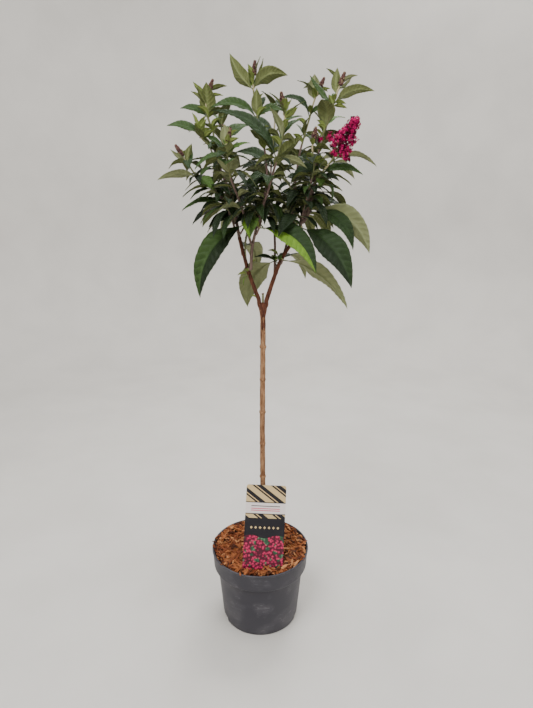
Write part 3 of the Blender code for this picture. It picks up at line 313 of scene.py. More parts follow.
# Leaves whose upper face is painted brighter or darker than the rule gives, as painted light and shade,
# often lit on one half and shaded on the other: shoot and place in its list, then the tones of its right
# and left halves, as seen from its root.
PAINTED_LIGHT_TONES = {
    ("leaves_low_front", 0): ("lime", "deep"),
    ("leaves_low_middle", 0): ("lime", "fresh"),
    ("leaves_low_left", 0): ("mid", "dark"),
    ("leaves_right_low", 0): ("dark", "deep"),
    ("leaves_middle", 0): ("deep", "dark"),
    ("leaves_centre", 2): ("lime", "fresh"),
}
UPPER_TONES = ("dark", "deep", "mid", "fresh", "lime")
UNDER_TONES = ("olive", "sage", "ashen", "young")
VEIN = len(UPPER_TONES) + len(UNDER_TONES)
RIB = VEIN + 1


def paint(red, green, blue):
    """A linear colour from the 0 to 255 values of its screen colour."""
    shares = np.array((red, green, blue)) / 255
    return tuple(np.where(shares <= 0.04045, shares / 12.92, ((shares + 0.055) / 1.055)**2.4).tolist())


def length_setting(default, description):
    """A length that a user can change."""
    return FloatProperty(description=description, default=default, min=0.0, unit="LENGTH", precision=4)


def share_setting(default, description, high=1.0):
    """A plain number that a user can change."""
    return FloatProperty(description=description, default=default, min=0.0, max=high)


def count_setting(default, description, high=20000):
    """A whole number that a user can change."""
    return IntProperty(description=description, default=default, min=1, max=high)


def colour_setting(default, description):
    """A colour that a user can change, given by its screen values."""
    return FloatVectorProperty(description=description, default=paint(*default), subtype="COLOR", size=3,
                               min=0.0, max=1.0)


class BushPotSettings(bpy.types.PropertyGroup):
    """The nursery pot."""

    sides: count_setting(144, "Faces round the pot", 512)
    plastic: colour_setting((58, 57, 64), "Colour of the moulded plastic")
    scuff: colour_setting((128, 126, 130), "Colour of the scratches and dust")
    roughness: share_setting(0.46, "Roughness of the plastic")


class BushMulchSettings(bpy.types.PropertyGroup):
    """The soil and the bark chips over it."""

    chips: count_setting(2300, "Number of bark chips")
    chip_length: length_setting(0.0135, "Usual length of a chip")
    straw: colour_setting((190, 130, 84), "Palest chips")
    tan: colour_setting((156, 92, 52), "Common chips")
    rust: colour_setting((120, 62, 34), "Reddish chips")
    umber: colour_setting((80, 42, 26), "Dark chips")
    soil: colour_setting((40, 26, 18), "Soil and the shade between chips")


class BushLabelSettings(bpy.types.PropertyGroup):
    """The picture label."""

    card: colour_setting((24, 23, 30), "Ground colour of the print")
    gold: colour_setting((196, 172, 126), "Bands of the print")
    pale: colour_setting((216, 208, 206), "Plain strip of the print")
    petal: colour_setting((200, 44, 92), "Printed petals")
    plum: colour_setting((74, 14, 36), "Shade between printed petals")
    bow: length_setting(0.0012, "How far the card bows forward in the middle")


class BushBarkSettings(bpy.types.PropertyGroup):
    """Bark of the stem, boughs and young shoots."""

    relief: length_setting(0.00034, "Depth of the stem's furrows")
    stem_light: colour_setting((170, 132, 98), "Ridges of the stem's bark")
    stem_dark: colour_setting((92, 58, 38), "Furrows of the stem's bark")
    bough_light: colour_setting((112, 70, 52), "Ridges of the boughs")
    bough_dark: colour_setting((52, 28, 24), "Furrows of the boughs")
    shoot_purple: colour_setting((134, 112, 104), "Young wood below the leaves' tips")
    shoot_green: colour_setting((122, 126, 86), "Green shoots")
    shoot_cream: colour_setting((190, 180, 140), "Woolly tips of the shoots")


class BushLeafSettings(bpy.types.PropertyGroup):
    """Leaves."""

    thickness: length_setting(0.00036, "Thickness of a blade")
    quilting: share_setting(0.20, "Rise between side veins, as a share of their spacing")
    teeth: share_setting(0.045, "Depth of the margin's teeth, as a share of the half width")
    waviness: share_setting(0.075, "Wave of the margin, as a share of the half width")
    # These upper tones also serve as painted light and shade on the halves of a few listed leaves.
    dark: colour_setting((30, 44, 22), "Upper face of old leaves")
    deep: colour_setting((40, 60, 27), "Upper face of grown leaves")
    mid: colour_setting((56, 80, 34), "Upper face of most leaves")
    fresh: colour_setting((80, 110, 46), "Upper face of young leaves")
    lime: colour_setting((112, 148, 48), "Upper face of the brightest leaves")
    vein: colour_setting((92, 116, 58), "Midrib on the upper face")
    olive: colour_setting((98, 106, 60), "Underside of most leaves")
    sage: colour_setting((114, 122, 76), "Underside of paler leaves")
    # Ashen serves as the woolly underside and, on large leaves, partly as painted light.
    ashen: colour_setting((134, 140, 100), "Underside of woolly leaves")
    young: colour_setting((126, 140, 72), "Underside of young leaves")
    rib: colour_setting((126, 132, 86), "Ribs on the underside")


class BushFlowerSettings(bpy.types.PropertyGroup):
    """Flower head and flower buds."""

    florets: count_setting(470, "Open florets in the head")
    floret_radius: length_setting(0.0030, "Half the width of an open floret")
    # Crimson is the florets' own colour; magenta is a painted highlight copy and wine a painted shade copy.
    crimson: colour_setting((152, 8, 72), "Most florets")
    magenta: colour_setting((194, 24, 104), "Bright florets")
    wine: colour_setting((84, 4, 42), "Shaded florets and closed ones")
    bud: colour_setting((108, 76, 72), "Flower buds")
    bud_dark: colour_setting((66, 42, 44), "Shaded flower buds")
    bud_green: colour_setting((140, 124, 92), "Calyx of the buds")


class BushStageSettings(bpy.types.PropertyGroup):
    """Floor, backdrop, light and camera."""

    ground: colour_setting((200, 197, 192), "Floor and backdrop")
    camera_height: length_setting(0.807, "Height of the camera")
    camera_distance: length_setting(0.916, "How far in front the camera stands")
    pitch: share_setting(15.92, "Degrees that the camera looks down", 90.0)
    reach: length_setting(2.4, "Radius of the round backdrop")


# Shapes


class Shape:
    """Points and faces gathered for one mesh, with a finish number for each face."""

    def __init__(self):
        self.points, self.corners, self.widths, self.finishes, self.count = [], [], [], [], 0

    def add(self, points, faces, finish=0):
        """Takes points, faces of one width that count from them, and one finish or one for each face."""
        points = np.asarray(points, float).reshape(-1, 3)
        faces = np.asarray(faces, int)
        self.points.append(points)
        self.corners.append((faces + self.count).ravel())
        self.widths.append(np.full(len(faces), faces.shape[1]))
        self.finishes.append(np.broadcast_to(finish, len(faces)))
        self.count += len(points)

    def mesh(self, name, finishes, smooth=True):
        """The gathered faces as a mesh with these materials."""
        made = bpy.data.meshes.new(name)
        points, corners = np.vstack(self.points), np.concatenate(self.corners)
        widths = np.concatenate(self.widths)
        made.vertices.add(len(points))
        made.vertices.foreach_set("co", points.ravel())
        made.loops.add(len(corners))
        made.loops.foreach_set("vertex_index", corners)
        made.polygons.add(len(widths))
        made.polygons.foreach_set("loop_start", np.concatenate(([0], np.cumsum(widths)[:-1])))
        made.polygons.foreach_set("material_index", np.concatenate(self.finishes))
        made.polygons.foreach_set("use_smooth", np.full(len(widths), smooth))
        made.update(calc_edges=True)
        made.validate()
        for finish in finishes:
            made.materials.append(finish)
        return made


def new_piece(name, mesh, slot, *nodes):
    """A finished piece: in the scene, riding on the one body, standing for its CAD nodes."""
    made = bpy.data.objects.new(name, mesh)
    bpy.context.scene.collection.objects.link(made)
    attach(made, "root")
    if nodes:
        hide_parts(*nodes)
    return made


def ring_faces(rows, columns):
    """Quads between the rings of a tube: each joins two neighbours on a ring to the next ring."""
    i, j = np.meshgrid(np.arange(rows - 1), np.arange(columns), indexing="ij")
    beside = (j + 1) % columns
    return np.stack((i * columns + j, (i + 1) * columns + j, (i + 1) * columns + beside,
                     i * columns + beside), axis=-1).reshape(-1, 4)


def round_turn(sides):
    """Angles at even steps round a full turn."""
    return np.arange(sides) / sides * 2 * np.pi


def repeated(faces, points, copies):
    """The faces of a form of so many points, for each of its copies in turn."""
    return (faces[None] + points * np.arange(copies)[:, None, None]).reshape(-1, faces.shape[1])


def turned(section, sides):
    """Rings of points: radii and heights turned about +Z."""
    turn = round_turn(sides)
    return np.stack((section[:, :1] * np.cos(turn), section[:, :1] * np.sin(turn),
                     np.repeat(section[:, 1:], sides, axis=1)), axis=-1)


def turned_solid(section, sides):
    """A section turned about +Z, closed at both its ends."""
    shape, points, closing = Shape(), turned(section, sides), np.arange(sides)[None, :]
    shape.add(points, ring_faces(len(section), sides))
    shape.add(points[0], closing[:, ::-1])
    shape.add(points[-1], closing)
    return shape


def cap_faces(rows, columns):
    """Quads that close both ends of a thin shell whose rings run over its front and back along its back."""
    start = np.arange(columns - 1)
    foot = np.stack((start, start + 1, 2 * columns - 2 - start, 2 * columns - 1 - start), axis=1)
    return foot, foot[:, ::-1] + (rows - 1) * 2 * columns


def sheet_faces(rows, columns):
    """Quads of an open grid."""
    i, j = np.meshgrid(np.arange(rows - 1), np.arange(columns - 1), indexing="ij")
    at = i * columns + j
    return np.stack((at, at + columns, at + columns + 1, at + 1), axis=-1).reshape(-1, 4)


def smooth_noise(turn, share, cells, rows, seed):
    """Random heights on a lattice that closes round the turn, joined by smooth steps 3x^2 - 2x^3."""
    heights = np.random.default_rng(seed).uniform(-1, 1, (rows + 2, cells))
    x, y = np.asarray(turn) * cells, np.clip(share, 0, 1) * rows
    i, j = np.floor(x).astype(int), np.floor(y).astype(int)
    x, y = x - i, y - j
    x, y = x * x * (3 - 2 * x), y * y * (3 - 2 * y)
    low = heights[j, i % cells] * (1 - x) + heights[j, (i + 1) % cells] * x
    high = heights[j + 1, i % cells] * (1 - x) + heights[j + 1, (i + 1) % cells] * x
    return low * (1 - y) + high * y


def bump_at(value, middle, width):
    """A bell of height one round a middle: exp(-((value - middle) / width)^2)."""
    return np.exp(-((value - middle) / width)**2)


def unit(vector):
    """The vector at length one."""
    return np.asarray(vector, float) / np.linalg.norm(vector)


def units(vectors):
    """Each row's vector at length one."""
    return vectors / np.linalg.norm(vectors, axis=-1, keepdims=True)


def path_frames(path):
    """Two unit vectors square to a path at each of its points."""
    forward = units(np.gradient(path, axis=0))
    first = units(np.cross(forward, (0.31, 0.95, 0.05)))
    return first, np.cross(forward, first)


def add_tube(shape, path, radii, sides, finish=0, capped=True):
    """A tube with pointed caps: point = path + radius(row, turn) * (cos turn * first + sin turn * second)."""
    rows = len(path)
    turn = round_turn(sides)
    first, second = path_frames(path)
    ring = np.cos(turn)[None, :, None] * first[:, None] + np.sin(turn)[None, :, None] * second[:, None]
    points = path[:, None] + np.broadcast_to(radii, (rows, sides))[..., None] * ring
    faces = ring_faces(rows, sides)[:, ::-1]
    finish = np.asarray(finish)
    if finish.ndim:
        finish = np.broadcast_to(finish.reshape(rows, -1), (rows, sides))
    shape.add(points, faces, finish[:-1].ravel() if finish.ndim else finish)
    if capped:
        for row, order, way in ((0, 1, -1), (rows - 1, -1, 1)):
            ahead = unit(path[min(row + 1, rows - 1)] - path[max(row - 1, 0)])
            middle = path[row] + way * 0.3 * np.mean(radii[row]) * ahead
            fan = np.stack((np.arange(sides), (np.arange(sides) + 1) % sides, np.full(sides, sides)), axis=1)
            kind = finish[row] if finish.ndim else finish
            shape.add(np.vstack((points[row], middle)), fan[:, ::order], kind)


def smooth_path(points, spacing):
    """Points at an even spacing along a Catmull-Rom curve through the given points."""
    points = np.asarray(points, float)
    ends = np.vstack((2 * points[0] - points[1], points, 2 * points[-1] - points[-2]))
    share = np.linspace(0, 1, 24, endpoint=False)[:, None]
    runs = []
    for a, b, c, d in zip(ends, ends[1:], ends[2:], ends[3:]):
        runs.append(0.5 * (2 * b + (c - a) * share + (2 * a - 5 * b + 4 * c - d) * share**2
                           + (3 * b - a - 3 * c + d) * share**3))
    fine = np.vstack((*runs, points[-1]))
    travelled = distances(fine)
    count = max(3, 1 + round(travelled[-1] / spacing))
    wanted = np.linspace(0, travelled[-1], count)
    return np.stack([np.interp(wanted, travelled, fine[:, axis]) for axis in range(3)], axis=1)


def distances(path):
    """How far each point of a path lies along it."""
    return np.concatenate(([0], np.cumsum(np.linalg.norm(np.diff(path, axis=0), axis=1))))


def along(path, share):
    """The point at a share of a path's length."""
    travelled = distances(path)
    return np.array([np.interp(share * travelled[-1], travelled, path[:, axis]) for axis in range(3)])


# Growth, by the rule of the solids


def heading_vector(degrees):
    """The level unit vector that faces a heading."""
    angle = math.radians(degrees)
    return np.array((math.cos(angle), math.sin(angle), 0.0))


def leaf_spine(root, heading, leaf, shares):
    """Centre line of a leaf, with its side and its upper face's normal at each share.

    The line is a parabola: root + share * chord, with 4 * bow * share * (1 - share) of the chord's
    length added square to the chord, upwards. The roll comes in over the first third.
    """
    shares = np.asarray(shares, float)[:, None]
    level, up = heading_vector(heading), np.array((0.0, 0.0, 1.0))
    chord = (leaf.out * level + leaf.up * up) * MM
    lift = (leaf.out * up - leaf.up * level) * MM * leaf.bow / 100
    spine = root + shares * chord + 4 * shares * (1 - shares) * lift
    forward = units(chord + 4 * (1 - 2 * shares) * lift)
    flat = np.broadcast_to(np.cross(up, level), forward.shape)
    above = np.cross(forward, flat)
    turn = np.radians(leaf.roll) * np.clip(shares / 0.35, 0, 1)
    side = np.cos(turn) * flat + np.sin(turn) * above
    return spine, side, np.cross(forward, side)


def leaf_length(leaf):
    """Length of a leaf along its bow, in metres."""
    return math.hypot(leaf.out, leaf.up) * MM * (1 + 8 / 3 * (leaf.bow / 100)**2)


def blade_shape(shares):
    """Half the blade's width over its widest: x to one power times (1 - x) to another, past the stalk."""
    low, high = WIDEST_POWERS
    blade = np.clip((np.asarray(shares) - PETIOLE_SHARE) / (1 - PETIOLE_SHARE), 0, 1)
    peak = low / (low + high)
    return blade**low * (1 - blade)**high / (peak**low * (1 - peak)**high)


def leaf_half_width(leaf, shares):
    """Half the solid leaf's width at each share."""
    return np.maximum(blade_shape(shares) * leaf.width * MM / 2, min(PETIOLE_HALF, leaf_length(leaf) * 0.03))


def leaf_thickness(leaf):
    """Thickness of a leaf's solid along its midrib."""
    return max(LEAF_THICK_LEAST, LEAF_THICK_SHARE * leaf_length(leaf))


def leaf_stations(leaf):
    """Shares of a leaf's length at which its solid has a ring of points, between its two ends."""
    length = leaf_length(leaf)
    if length < SMALL_LEAF:
        return np.array((0, 0.05, 0.34, 0.68, 1.0))
    if length < LARGE_LEAF:
        return np.array((0, 0.04, 0.24, 0.50, 0.78, 1.0))
    return np.array((0, 0.035, 0.20, 0.42, 0.64, 0.84, 1.0))


def leaf_shell(root, heading, leaf, thickness, first_row=0):
    """The leaf's two faces as grids of three columns, thicker than its solid by the clearance."""
    shares = leaf_stations(leaf)
    spine, side, normal = leaf_spine(root, heading, leaf, shares)
    half = leaf_half_width(leaf, shares)[:, None]
    half[-1] = 0
    lift = LEAF_FOLD * half * normal
    rows = np.stack((spine - half * side + lift, spine, spine + half * side + lift), axis=1)
    offset = (thickness / 2 + CLEARANCE) * normal[:, None]
    return [(rows + offset)[first_row:], (rows - offset)[first_row:]]


def tube_rows(path, radii, sides=6):
    """Rings of points round a path, each closed on its first point."""
    first, second = path_frames(path)
    turn = np.linspace(0, 2 * np.pi, sides + 1)[None, :, None]
    ring = np.cos(turn) * first[:, None] + np.sin(turn) * second[:, None]
    return path[:, None] + np.asarray(radii)[:, None, None] * ring


def tree_of(rows_list):
    """A search tree over grids of points."""
    corners, faces, start = [], [], 0
    for rows in rows_list:
        high, wide = rows.shape[:2]
        corners += rows.reshape(-1, 3).tolist()
        faces += (sheet_faces(high, wide)[:, [0, 3, 2, 1]] + start).tolist()
        start += high * wide
    return BVHTree.FromPolygons(corners, faces)


class Crown:
    """What has been placed so far, so that each new leaf can be kept clear of it."""

    def __init__(self):
        self.owners, self.trees, self.lows, self.highs = [], [], [], []

    def add(self, owner, rows_list):
        """Takes an owner's grids of points."""
        stacked = np.vstack([rows.reshape(-1, 3) for rows in rows_list])
        self.owners.append(owner)
        self.trees.append(tree_of(rows_list))
        self.lows.append(stacked.min(axis=0))
        self.highs.append(stacked.max(axis=0))

    def is_clear(self, owner, whole, outer):
        """True if the whole leaf misses other owners' things and its outer part misses its own shoot's."""
        stacked = np.vstack([rows.reshape(-1, 3) for rows in whole])
        low, high = stacked.min(axis=0), stacked.max(axis=0)
        near = np.nonzero(np.all((low <= self.highs) & (high >= self.lows), axis=1))[0]
        if not len(near):
            return True
        whole_tree, outer_tree = tree_of(whole), tree_of(outer)
        return not any((outer_tree if self.owners[i] == owner else whole_tree).overlap(self.trees[i])
                       for i in near)


TRIED_TURNS = ((0, 0), (8, 0), (-8, 0), (0, 0.12), (0, -0.12), (15, 0.1), (-15, 0.1), (15, -0.1), (-15, -0.1),
               (26, 0), (-26, 0), (26, 0.2), (-26, 0.2), (40, 0), (-40, 0), (52, 0.1), (-52, 0.1))


def settle_leaf(crown, owner, root, heading, leaf, thickness=None, sizes=(1.0, 0.88, 0.74, 0.60),
                turns=TRIED_TURNS):
    """The start, heading and leaf nearest to those wanted that clear everything placed so far, or None."""
    for size in sizes:
        for turn, rise in turns:
            length = math.hypot(leaf.out, leaf.up)
            tried = leaf._replace(out=leaf.out * size, up=(leaf.up + rise * length) * size,
                                  width=leaf.width * size)
            thick = thickness or leaf_thickness(tried)
            start = root - SEAT_DEPTH * heading_vector(heading + turn)
            whole = leaf_shell(start, heading + turn, tried, thick)
            half = len(leaf_stations(tried if thickness else leaf)) // 2
            if crown.is_clear(owner, whole, [rows[half:] for rows in whole]):
                crown.add(owner, whole)
                return start, heading + turn, tried
    return None


def limb_paths():
    """Centre line and radii of each limb. A limb's foot stands clear of its parent's side."""
    paths = {}
    for name, limb in LIMBS.items():
        points = [np.array(point) * MM for point in limb.points]
        if limb.parent is None:
            foot = np.array((points[0][0], 0, FORK_HEIGHT + GAP))
            path = smooth_path([foot, *points], 0.011)
        else:
            foot, out = side_of(paths[limb.parent], limb.height * MM, limb.heading)
            path = stem_from(foot, out, points, limb.radius * MM)
        paths[name] = (path, np.linspace(limb.radius, limb.tip_radius, len(path)) * MM)
    return paths


def stem_from(foot, out, points, radius):
    """A path that leaves its foot straight out and runs through points."""
    collar = foot + (1.2 * radius + 0.0005) * out
    return np.vstack((foot, smooth_path([collar, *points], 0.012)))


def step_at(path, height):
    """The step of a rising path that holds a height, and how far along it the height lies."""
    step = min(max(int(np.searchsorted(path[:, 2], height)), 1), len(path) - 1)
    return step, (height - path[step - 1][2]) / (path[step][2] - path[step - 1][2])


def side_of(limb, height, heading):
    """A point just clear of a limb's side at a height, and the way out from it towards a heading."""
    path, radii = limb
    step, share = step_at(path, height)
    forward = unit(path[step] - path[step - 1])
    point = path[step - 1] + share * (path[step] - path[step - 1])
    wanted = heading_vector(heading)
    out = unit(wanted - wanted.dot(forward) * forward)
    return point + (radii[step - 1] + GAP) * out, out


def at_height(path, height):
    """The point of a rising path at a height."""
    step, share = step_at(path, height)
    return path[step - 1] + min(share, 1) * (path[step] - path[step - 1])


def shoot_paths(limbs):
    """Centre line and radii of each shoot's stem."""
    paths = {}
    for name, shoot in SHOOTS.items():
        path, radii = limbs[shoot.limb]
        points = [np.array(point) * MM for point in shoot.points]
        if shoot.height:
            foot, out = side_of(limbs[shoot.limb], shoot.height * MM, shoot.heading)
            radius = SIDE_TWIG_RADIUS
        else:
            out = unit(path[-1] - path[-2])
            foot = path[-1] + GAP * out
            radius = radii[-1]
        stem = stem_from(foot, out, points, radius)
        tip_radius = TWIG_TIP_RADIUS if len(shoot.points) > 1 else SIDE_TWIG_RADIUS * 0.8
        paths[name] = (stem, np.linspace(radius, tip_radius, len(stem)))
    return paths


def wanted_leaves(name, path, seed):
    """Each leaf that the shoot would like to grow: its root, heading and leaf, from the foot to the tip."""
    shoot, chance = SHOOTS[name], np.random.default_rng(seed)
    found = []
    for height, heading, one, two in shoot.pairs:
        root = at_height(path, height * MM)
        found.append((root, heading, Leaf(*one)))
        found.append((root + (0, 0, 0.0008), heading + 180 + chance.uniform(-6, 6), Leaf(*two)))

    def add_pair(root, turn, spread, length, rise):
        for half in (0, 180):
            found.append((root + (0, 0, 0.0007 * (half > 0)), turn + half + chance.uniform(-spread, spread),
                          ruled_leaf(length, rise, chance)))

    if shoot.fill:
        count, low, high, length = shoot.fill
        turn = chance.uniform(0, 90)
        for step in range(count):
            share = step / max(1, count - 1)
            root = at_height(path, (low + (high - low) * share) * MM)
            add_pair(root, turn + 90 * step, 12, length * (1 - 0.35 * share), -12 + 50 * share)
    if shoot.tuft:
        turn = 45 + chance.uniform(-10, 10)
        for step in range(3):
            root = along(path, 0.93 + 0.03 * step)
            add_pair(root, turn + 90 * step, 15, shoot.tuft * (1.1 - 0.25 * step), 52 + 9 * step)
    return found


def ruled_leaf(length, rise, chance):
    """A leaf by rule: it lies at a rise over the level, with a little chance in each size."""
    rise = math.radians(rise + chance.uniform(-9, 9))
    length *= chance.uniform(0.88, 1.1)
    width = length * chance.uniform(0.27, 0.33)
    return Leaf(length * math.cos(rise), length * math.sin(rise), chance.uniform(10, 22), width,
                chance.uniform(-45, 45))


Grown = namedtuple("Grown", "shoot number root heading leaf young")


def grow_leaves(limbs, stems):
    """The solids' own leaves, then finer ones: those that found no room, small pairs in the axils, and
    leaves on short twigs of the inner limbs."""
    crown = Crown()
    trunk = np.array([(TRUNK_X, 0, height) for height in np.linspace(SOIL_TOP, FORK_HEIGHT, 6)])
    crown.add("trunk", [tube_rows(trunk, np.full(6, FORK_RADIUS))])
    for name, (path, radii) in (*limbs.items(), *stems.items()):
        crown.add(name, [tube_rows(path, radii + CLEARANCE)])
    line, _ = panicle_line(stems[FLOWERING])
    crown.add("flower_panicle", [tube_rows(line[2:], panicle_reach(np.linspace(0, 1, 7)) + 0.002, sides=10)])
    wanted = []
    for seed, (name, (path, _)) in enumerate(stems.items()):
        wanted += [(name, number, *leaf) for number, leaf in enumerate(wanted_leaves(name, path, seed))]
    wanted.sort(key=lambda row: -leaf_length(row[4]))
    grown, missed = [], []
    for name, number, root, heading, leaf in wanted:
        settled = settle_leaf(crown, name, root, heading, leaf)
        top = (stems[name][0][-1][2] - root[2]) / 0.19
        if settled:
            grown.append(Grown(name, number, *settled, 1 - top))
        else:
            missed.append((name, root, heading, leaf, 1 - top))
    rods = {**limbs, **stems}
    placed = [(name, *row) for name, rows in PLACED_LEAVES.items() for row in rows]
    for name, height, heading, sizes in placed:
        leaf, height = Leaf(*sizes), height * MM
        root = side_of(rods[name], height, heading)[0] if name in limbs else at_height(rods[name][0], height)
        settled = settle_leaf(crown, name, root, heading, leaf, FINE_THICKNESS, (1.0, 0.88), TRIED_TURNS[:7])
        grown.append(Grown(name, -1, *(settled or (root, heading, leaf)), 0.75 if leaf.width < 12 else 0.2))
    twigs = []
    for name, root, heading, leaf, young in missed + fine_leaves(limbs, stems, twigs):
        settled = settle_leaf(crown, name, root, heading, leaf, FINE_THICKNESS, (1.0, 0.85, 0.7, 0.55, 0.4))
        if settled:
            grown.append(Grown(name, -1, *settled, young))
    return grown, twigs


def fine_leaves(limbs, stems, twigs):
    """Finer leaves above the bare boughs: axil pairs on each shoot, and pairs on short inner twigs."""
    found, chance = [], np.random.default_rng(FINE_SEED)
    for name, (path, _) in stems.items():
        shoot = SHOOTS[name]
        low, high = path[2][2], path[-1][2]
        placed = [pair[0] * MM for pair in shoot.pairs]
        for height in (*placed, *np.arange(low + 0.006, high - 0.03, 0.022)):
            root, turn = at_height(path, height + 0.0022), chance.uniform(0, 360)
            inner = height < YOUNG_ABOVE
            for half in (0, 180):
                length = chance.uniform(34, 54) if inner else chance.uniform(14, 25)
                leaf = ruled_leaf(length, -16 if inner else 42, chance)
                if root[2] > BARE_BELOW:
                    heading = turn + half + chance.uniform(-14, 14)
                    found.append((name, root, heading, leaf, 0.1 if inner else 0.75))
    for name, (path, radii) in limbs.items():
        start = max(BARE_BELOW - 0.005, path[1][2] + 0.012)
        for height in np.arange(start, path[-1][2] - 0.004, 0.011):
            turn = chance.uniform(0, 360)
            for half in (0, 180):
                heading = turn + half + chance.uniform(-15, 15)
                foot, out = side_of((path, radii), height, heading)
                reach = chance.uniform(0.010, 0.026)
                tip = foot + reach * unit(out + (0, 0, chance.uniform(0.5, 1.1)))
                twigs.append((name, foot - 0.0015 * out, tip))
                for side_turn, length, rise in ((0, 62, -38), (75, 54, -24), (-75, 54, -24), (180, 30, 20)):
                    leaf = ruled_leaf(length, rise, chance)
                    share = 1 if side_turn in (0, 180) else 0.7
                    # Leaves on the inner twigs get a low share, which darkens their tones: painted shade of
                    # the crown's inside.
                    found.append((name, foot + share * (tip - foot), heading + side_turn, leaf, 0.15))
    return found


def panicle_line(stem):
    """The flower head's axis: clear of the shoot's tip, a short stalk, then even steps to its top."""
    path, _ = stem
    forward, lean = unit(path[-1] - path[-2]), unit(PANICLE_LEAN)
    foot = path[-1] + GAP * forward
    rise = np.linspace(0, PANICLE_STALK + PANICLE_LENGTH, 8)[:, None] * lean
    return np.vstack((foot, foot + 0.004 * forward + rise)), lean


def panicle_reach(share):
    """How far the florets stand out at a share of the head's length."""
    return PANICLE_BASE_RADIUS + (PANICLE_TIP_RADIUS - PANICLE_BASE_RADIUS) * share**0.9


# Leaves in full


def leaf_layout(length):
    """Rows along a leaf, each with its share, its bulge and its tooth, and which strips are side veins.

    Each side vein is a slim strip between two rows. Between veins the rows bulge by sin(pi * share).
    """
    if length > LONG_BLADE:
        veins, between, columns = 10, (0.30, 0.68), 5
    elif length > MIDDLE_BLADE:
        veins, between, columns = 8, (0.33, 0.67), 4
    else:
        veins, between, columns = 4, (0.5,), 3
    centres = np.linspace(0.15, 0.90, veins)
    half = min(VEIN_HALF / length, 0.008)
    gap = centres[1] - centres[0] - 2 * half
    rows, vein_rows = [(0.0, 0.0, 0.0), (0.035, 0.0, 0.0), (0.075, 0.0, 0.0)], []
    for centre in centres:
        vein_rows.append(len(rows))
        rows += [(centre - half, 0.0, 0.2), (centre + half, 0.0, 1.0)]
        rows += [(centre + half + share * gap, math.sin(math.pi * share), 0.15 if number % 2 else 0.55)
                 for number, share in enumerate(between)]
    rows += [(0.985, 0.0, 0.0), (1.0, 0.0, 0.0)]
    is_vein = np.zeros(len(rows) - 1, bool)
    is_vein[vein_rows] = True
    across = np.concatenate((-np.linspace(1, 0, columns), np.linspace(0, 1, columns)))
    return *np.array(rows).T, is_vein, across


def add_leaf(shape, grown, settings, upper, under, chance):
    """A leaf as a thin closed shell.

    Point(share, t) = spine(u) + v * side(u) + h * normal(u). The rows slant forward along the side
    veins: u = share + slant * |t| * half / length. v runs from the midrib's edge to the margin with
    its teeth. h adds the fold, the quilting between veins and the wave of the margin. The underside's
    quads start a corner later, so that both faces of the thin blade bend along the same diagonals.
    """
    leaf, length = grown.leaf, leaf_length(grown.leaf)
    if length < SMALL_LEAF:
        turned = 0.4 * leaf.roll - 42 * math.cos(math.radians(grown.heading))
        leaf = leaf._replace(roll=turned, width=leaf.width * 1.35)
    shares, bulge, teeth, is_vein, across = leaf_layout(length)
    width = leaf.width * MM / 2
    t = np.abs(across)[None, :]
    slant = 0.75 * blade_shape(shares)[:, None] * width / length
    u = np.clip(shares[:, None] + slant * t * np.clip((1 - shares[:, None]) / 0.2, 0, 1), 0, 1)
    lines = leaf_spine(grown.root, grown.heading, leaf, u.ravel())
    spine, side, normal = (part.reshape(*u.shape, 3) for part in lines)
    stalk = min(PETIOLE_HALF, length * 0.022) * np.clip(1 - (u - PETIOLE_SHARE) / 0.3, 0, 1)
    half = np.maximum(blade_shape(u) * width, stalk) + 0.00012
    rib = np.minimum(RIB_HALF * math.sqrt(length / 0.08), 0.5 * half)
    out = rib + (half - rib) * t
    out = out + (t == 1) * teeth[:, None] * settings.teeth * half * (u > PETIOLE_SHARE)
    spacing = length * 0.75 / max(4, is_vein.sum())
    lift = LEAF_FOLD * half * t * (1.15 - 0.15 * t**3)
    between = np.sin(np.pi * np.clip(t * 0.86 + 0.02, 0, 1))**0.7
    lift = lift + settings.quilting * spacing * bulge[:, None] * between
    phase = chance.uniform(0, 6.28, 2)
    phases = np.where(across < 0, phase[0], phase[1])[None, :]
    waves = chance.uniform(1.6, 3.0)
    lift = lift + settings.waviness * half * t**2 * np.sin(6.28 * waves * u + phases)
    lift = lift - 0.10 * chance.uniform(0, 1) * half * t**3
    sway = chance.uniform(-0.035, 0.035) * length * np.sin(np.pi * u)
    middle = spine + (np.sign(across)[None, :] * out + sway)[..., None] * side + lift[..., None] * normal
    stem = np.clip(1 - u / 0.11, 0, 1)
    thick = settings.thickness / 2 * (1 - 0.45 * t) + 0.00055 * stem * min(1, length / 0.05)
    ridge = (t == 0) * RIB_HALF * (1 - 0.75 * u) * min(1.2, length / 0.07)
    top = middle + thick[..., None] * normal
    bottom = middle - (thick + ridge)[..., None] * normal
    rows, columns = u.shape
    ring = np.concatenate((top, bottom[:, ::-1]), axis=1)
    kinds = np.full((rows - 1, 2 * columns), under)
    # Each half of the upper face takes its own tone; on a few listed leaves one half is a lit tone and the
    # other a shaded one, as painted light and shade.
    kinds[:, :columns // 2] = upper[0]
    kinds[:, columns // 2:columns - 1] = upper[1]
    # The side veins on the upper face take the next darker tone: painted shade in the creases between the
    # quilted bulges.
    kinds[is_vein, :columns - 1] = np.maximum(kinds[is_vein, :columns - 1] - 1, 0)
    kinds[is_vein, columns + 1:2 * columns - 2] = RIB
    kinds[:, columns - 1] = upper[1]
    kinds[:, 2 * columns - 1] = upper[0]
    kinds[:, columns // 2 - 1] = VEIN
    kinds[:, columns + columns // 2 - 1] = RIB
    foot, tip = cap_faces(rows, columns)
    walls = ring_faces(rows, 2 * columns).reshape(rows - 1, 2 * columns, 4)
    walls[:, columns:-1] = np.roll(walls[:, columns:-1], 1, axis=-1)
    faces = np.vstack((walls.reshape(-1, 4), foot, tip))
    shape.add(ring, faces, np.concatenate((kinds.ravel(), np.full(len(foot) * 2, under))))


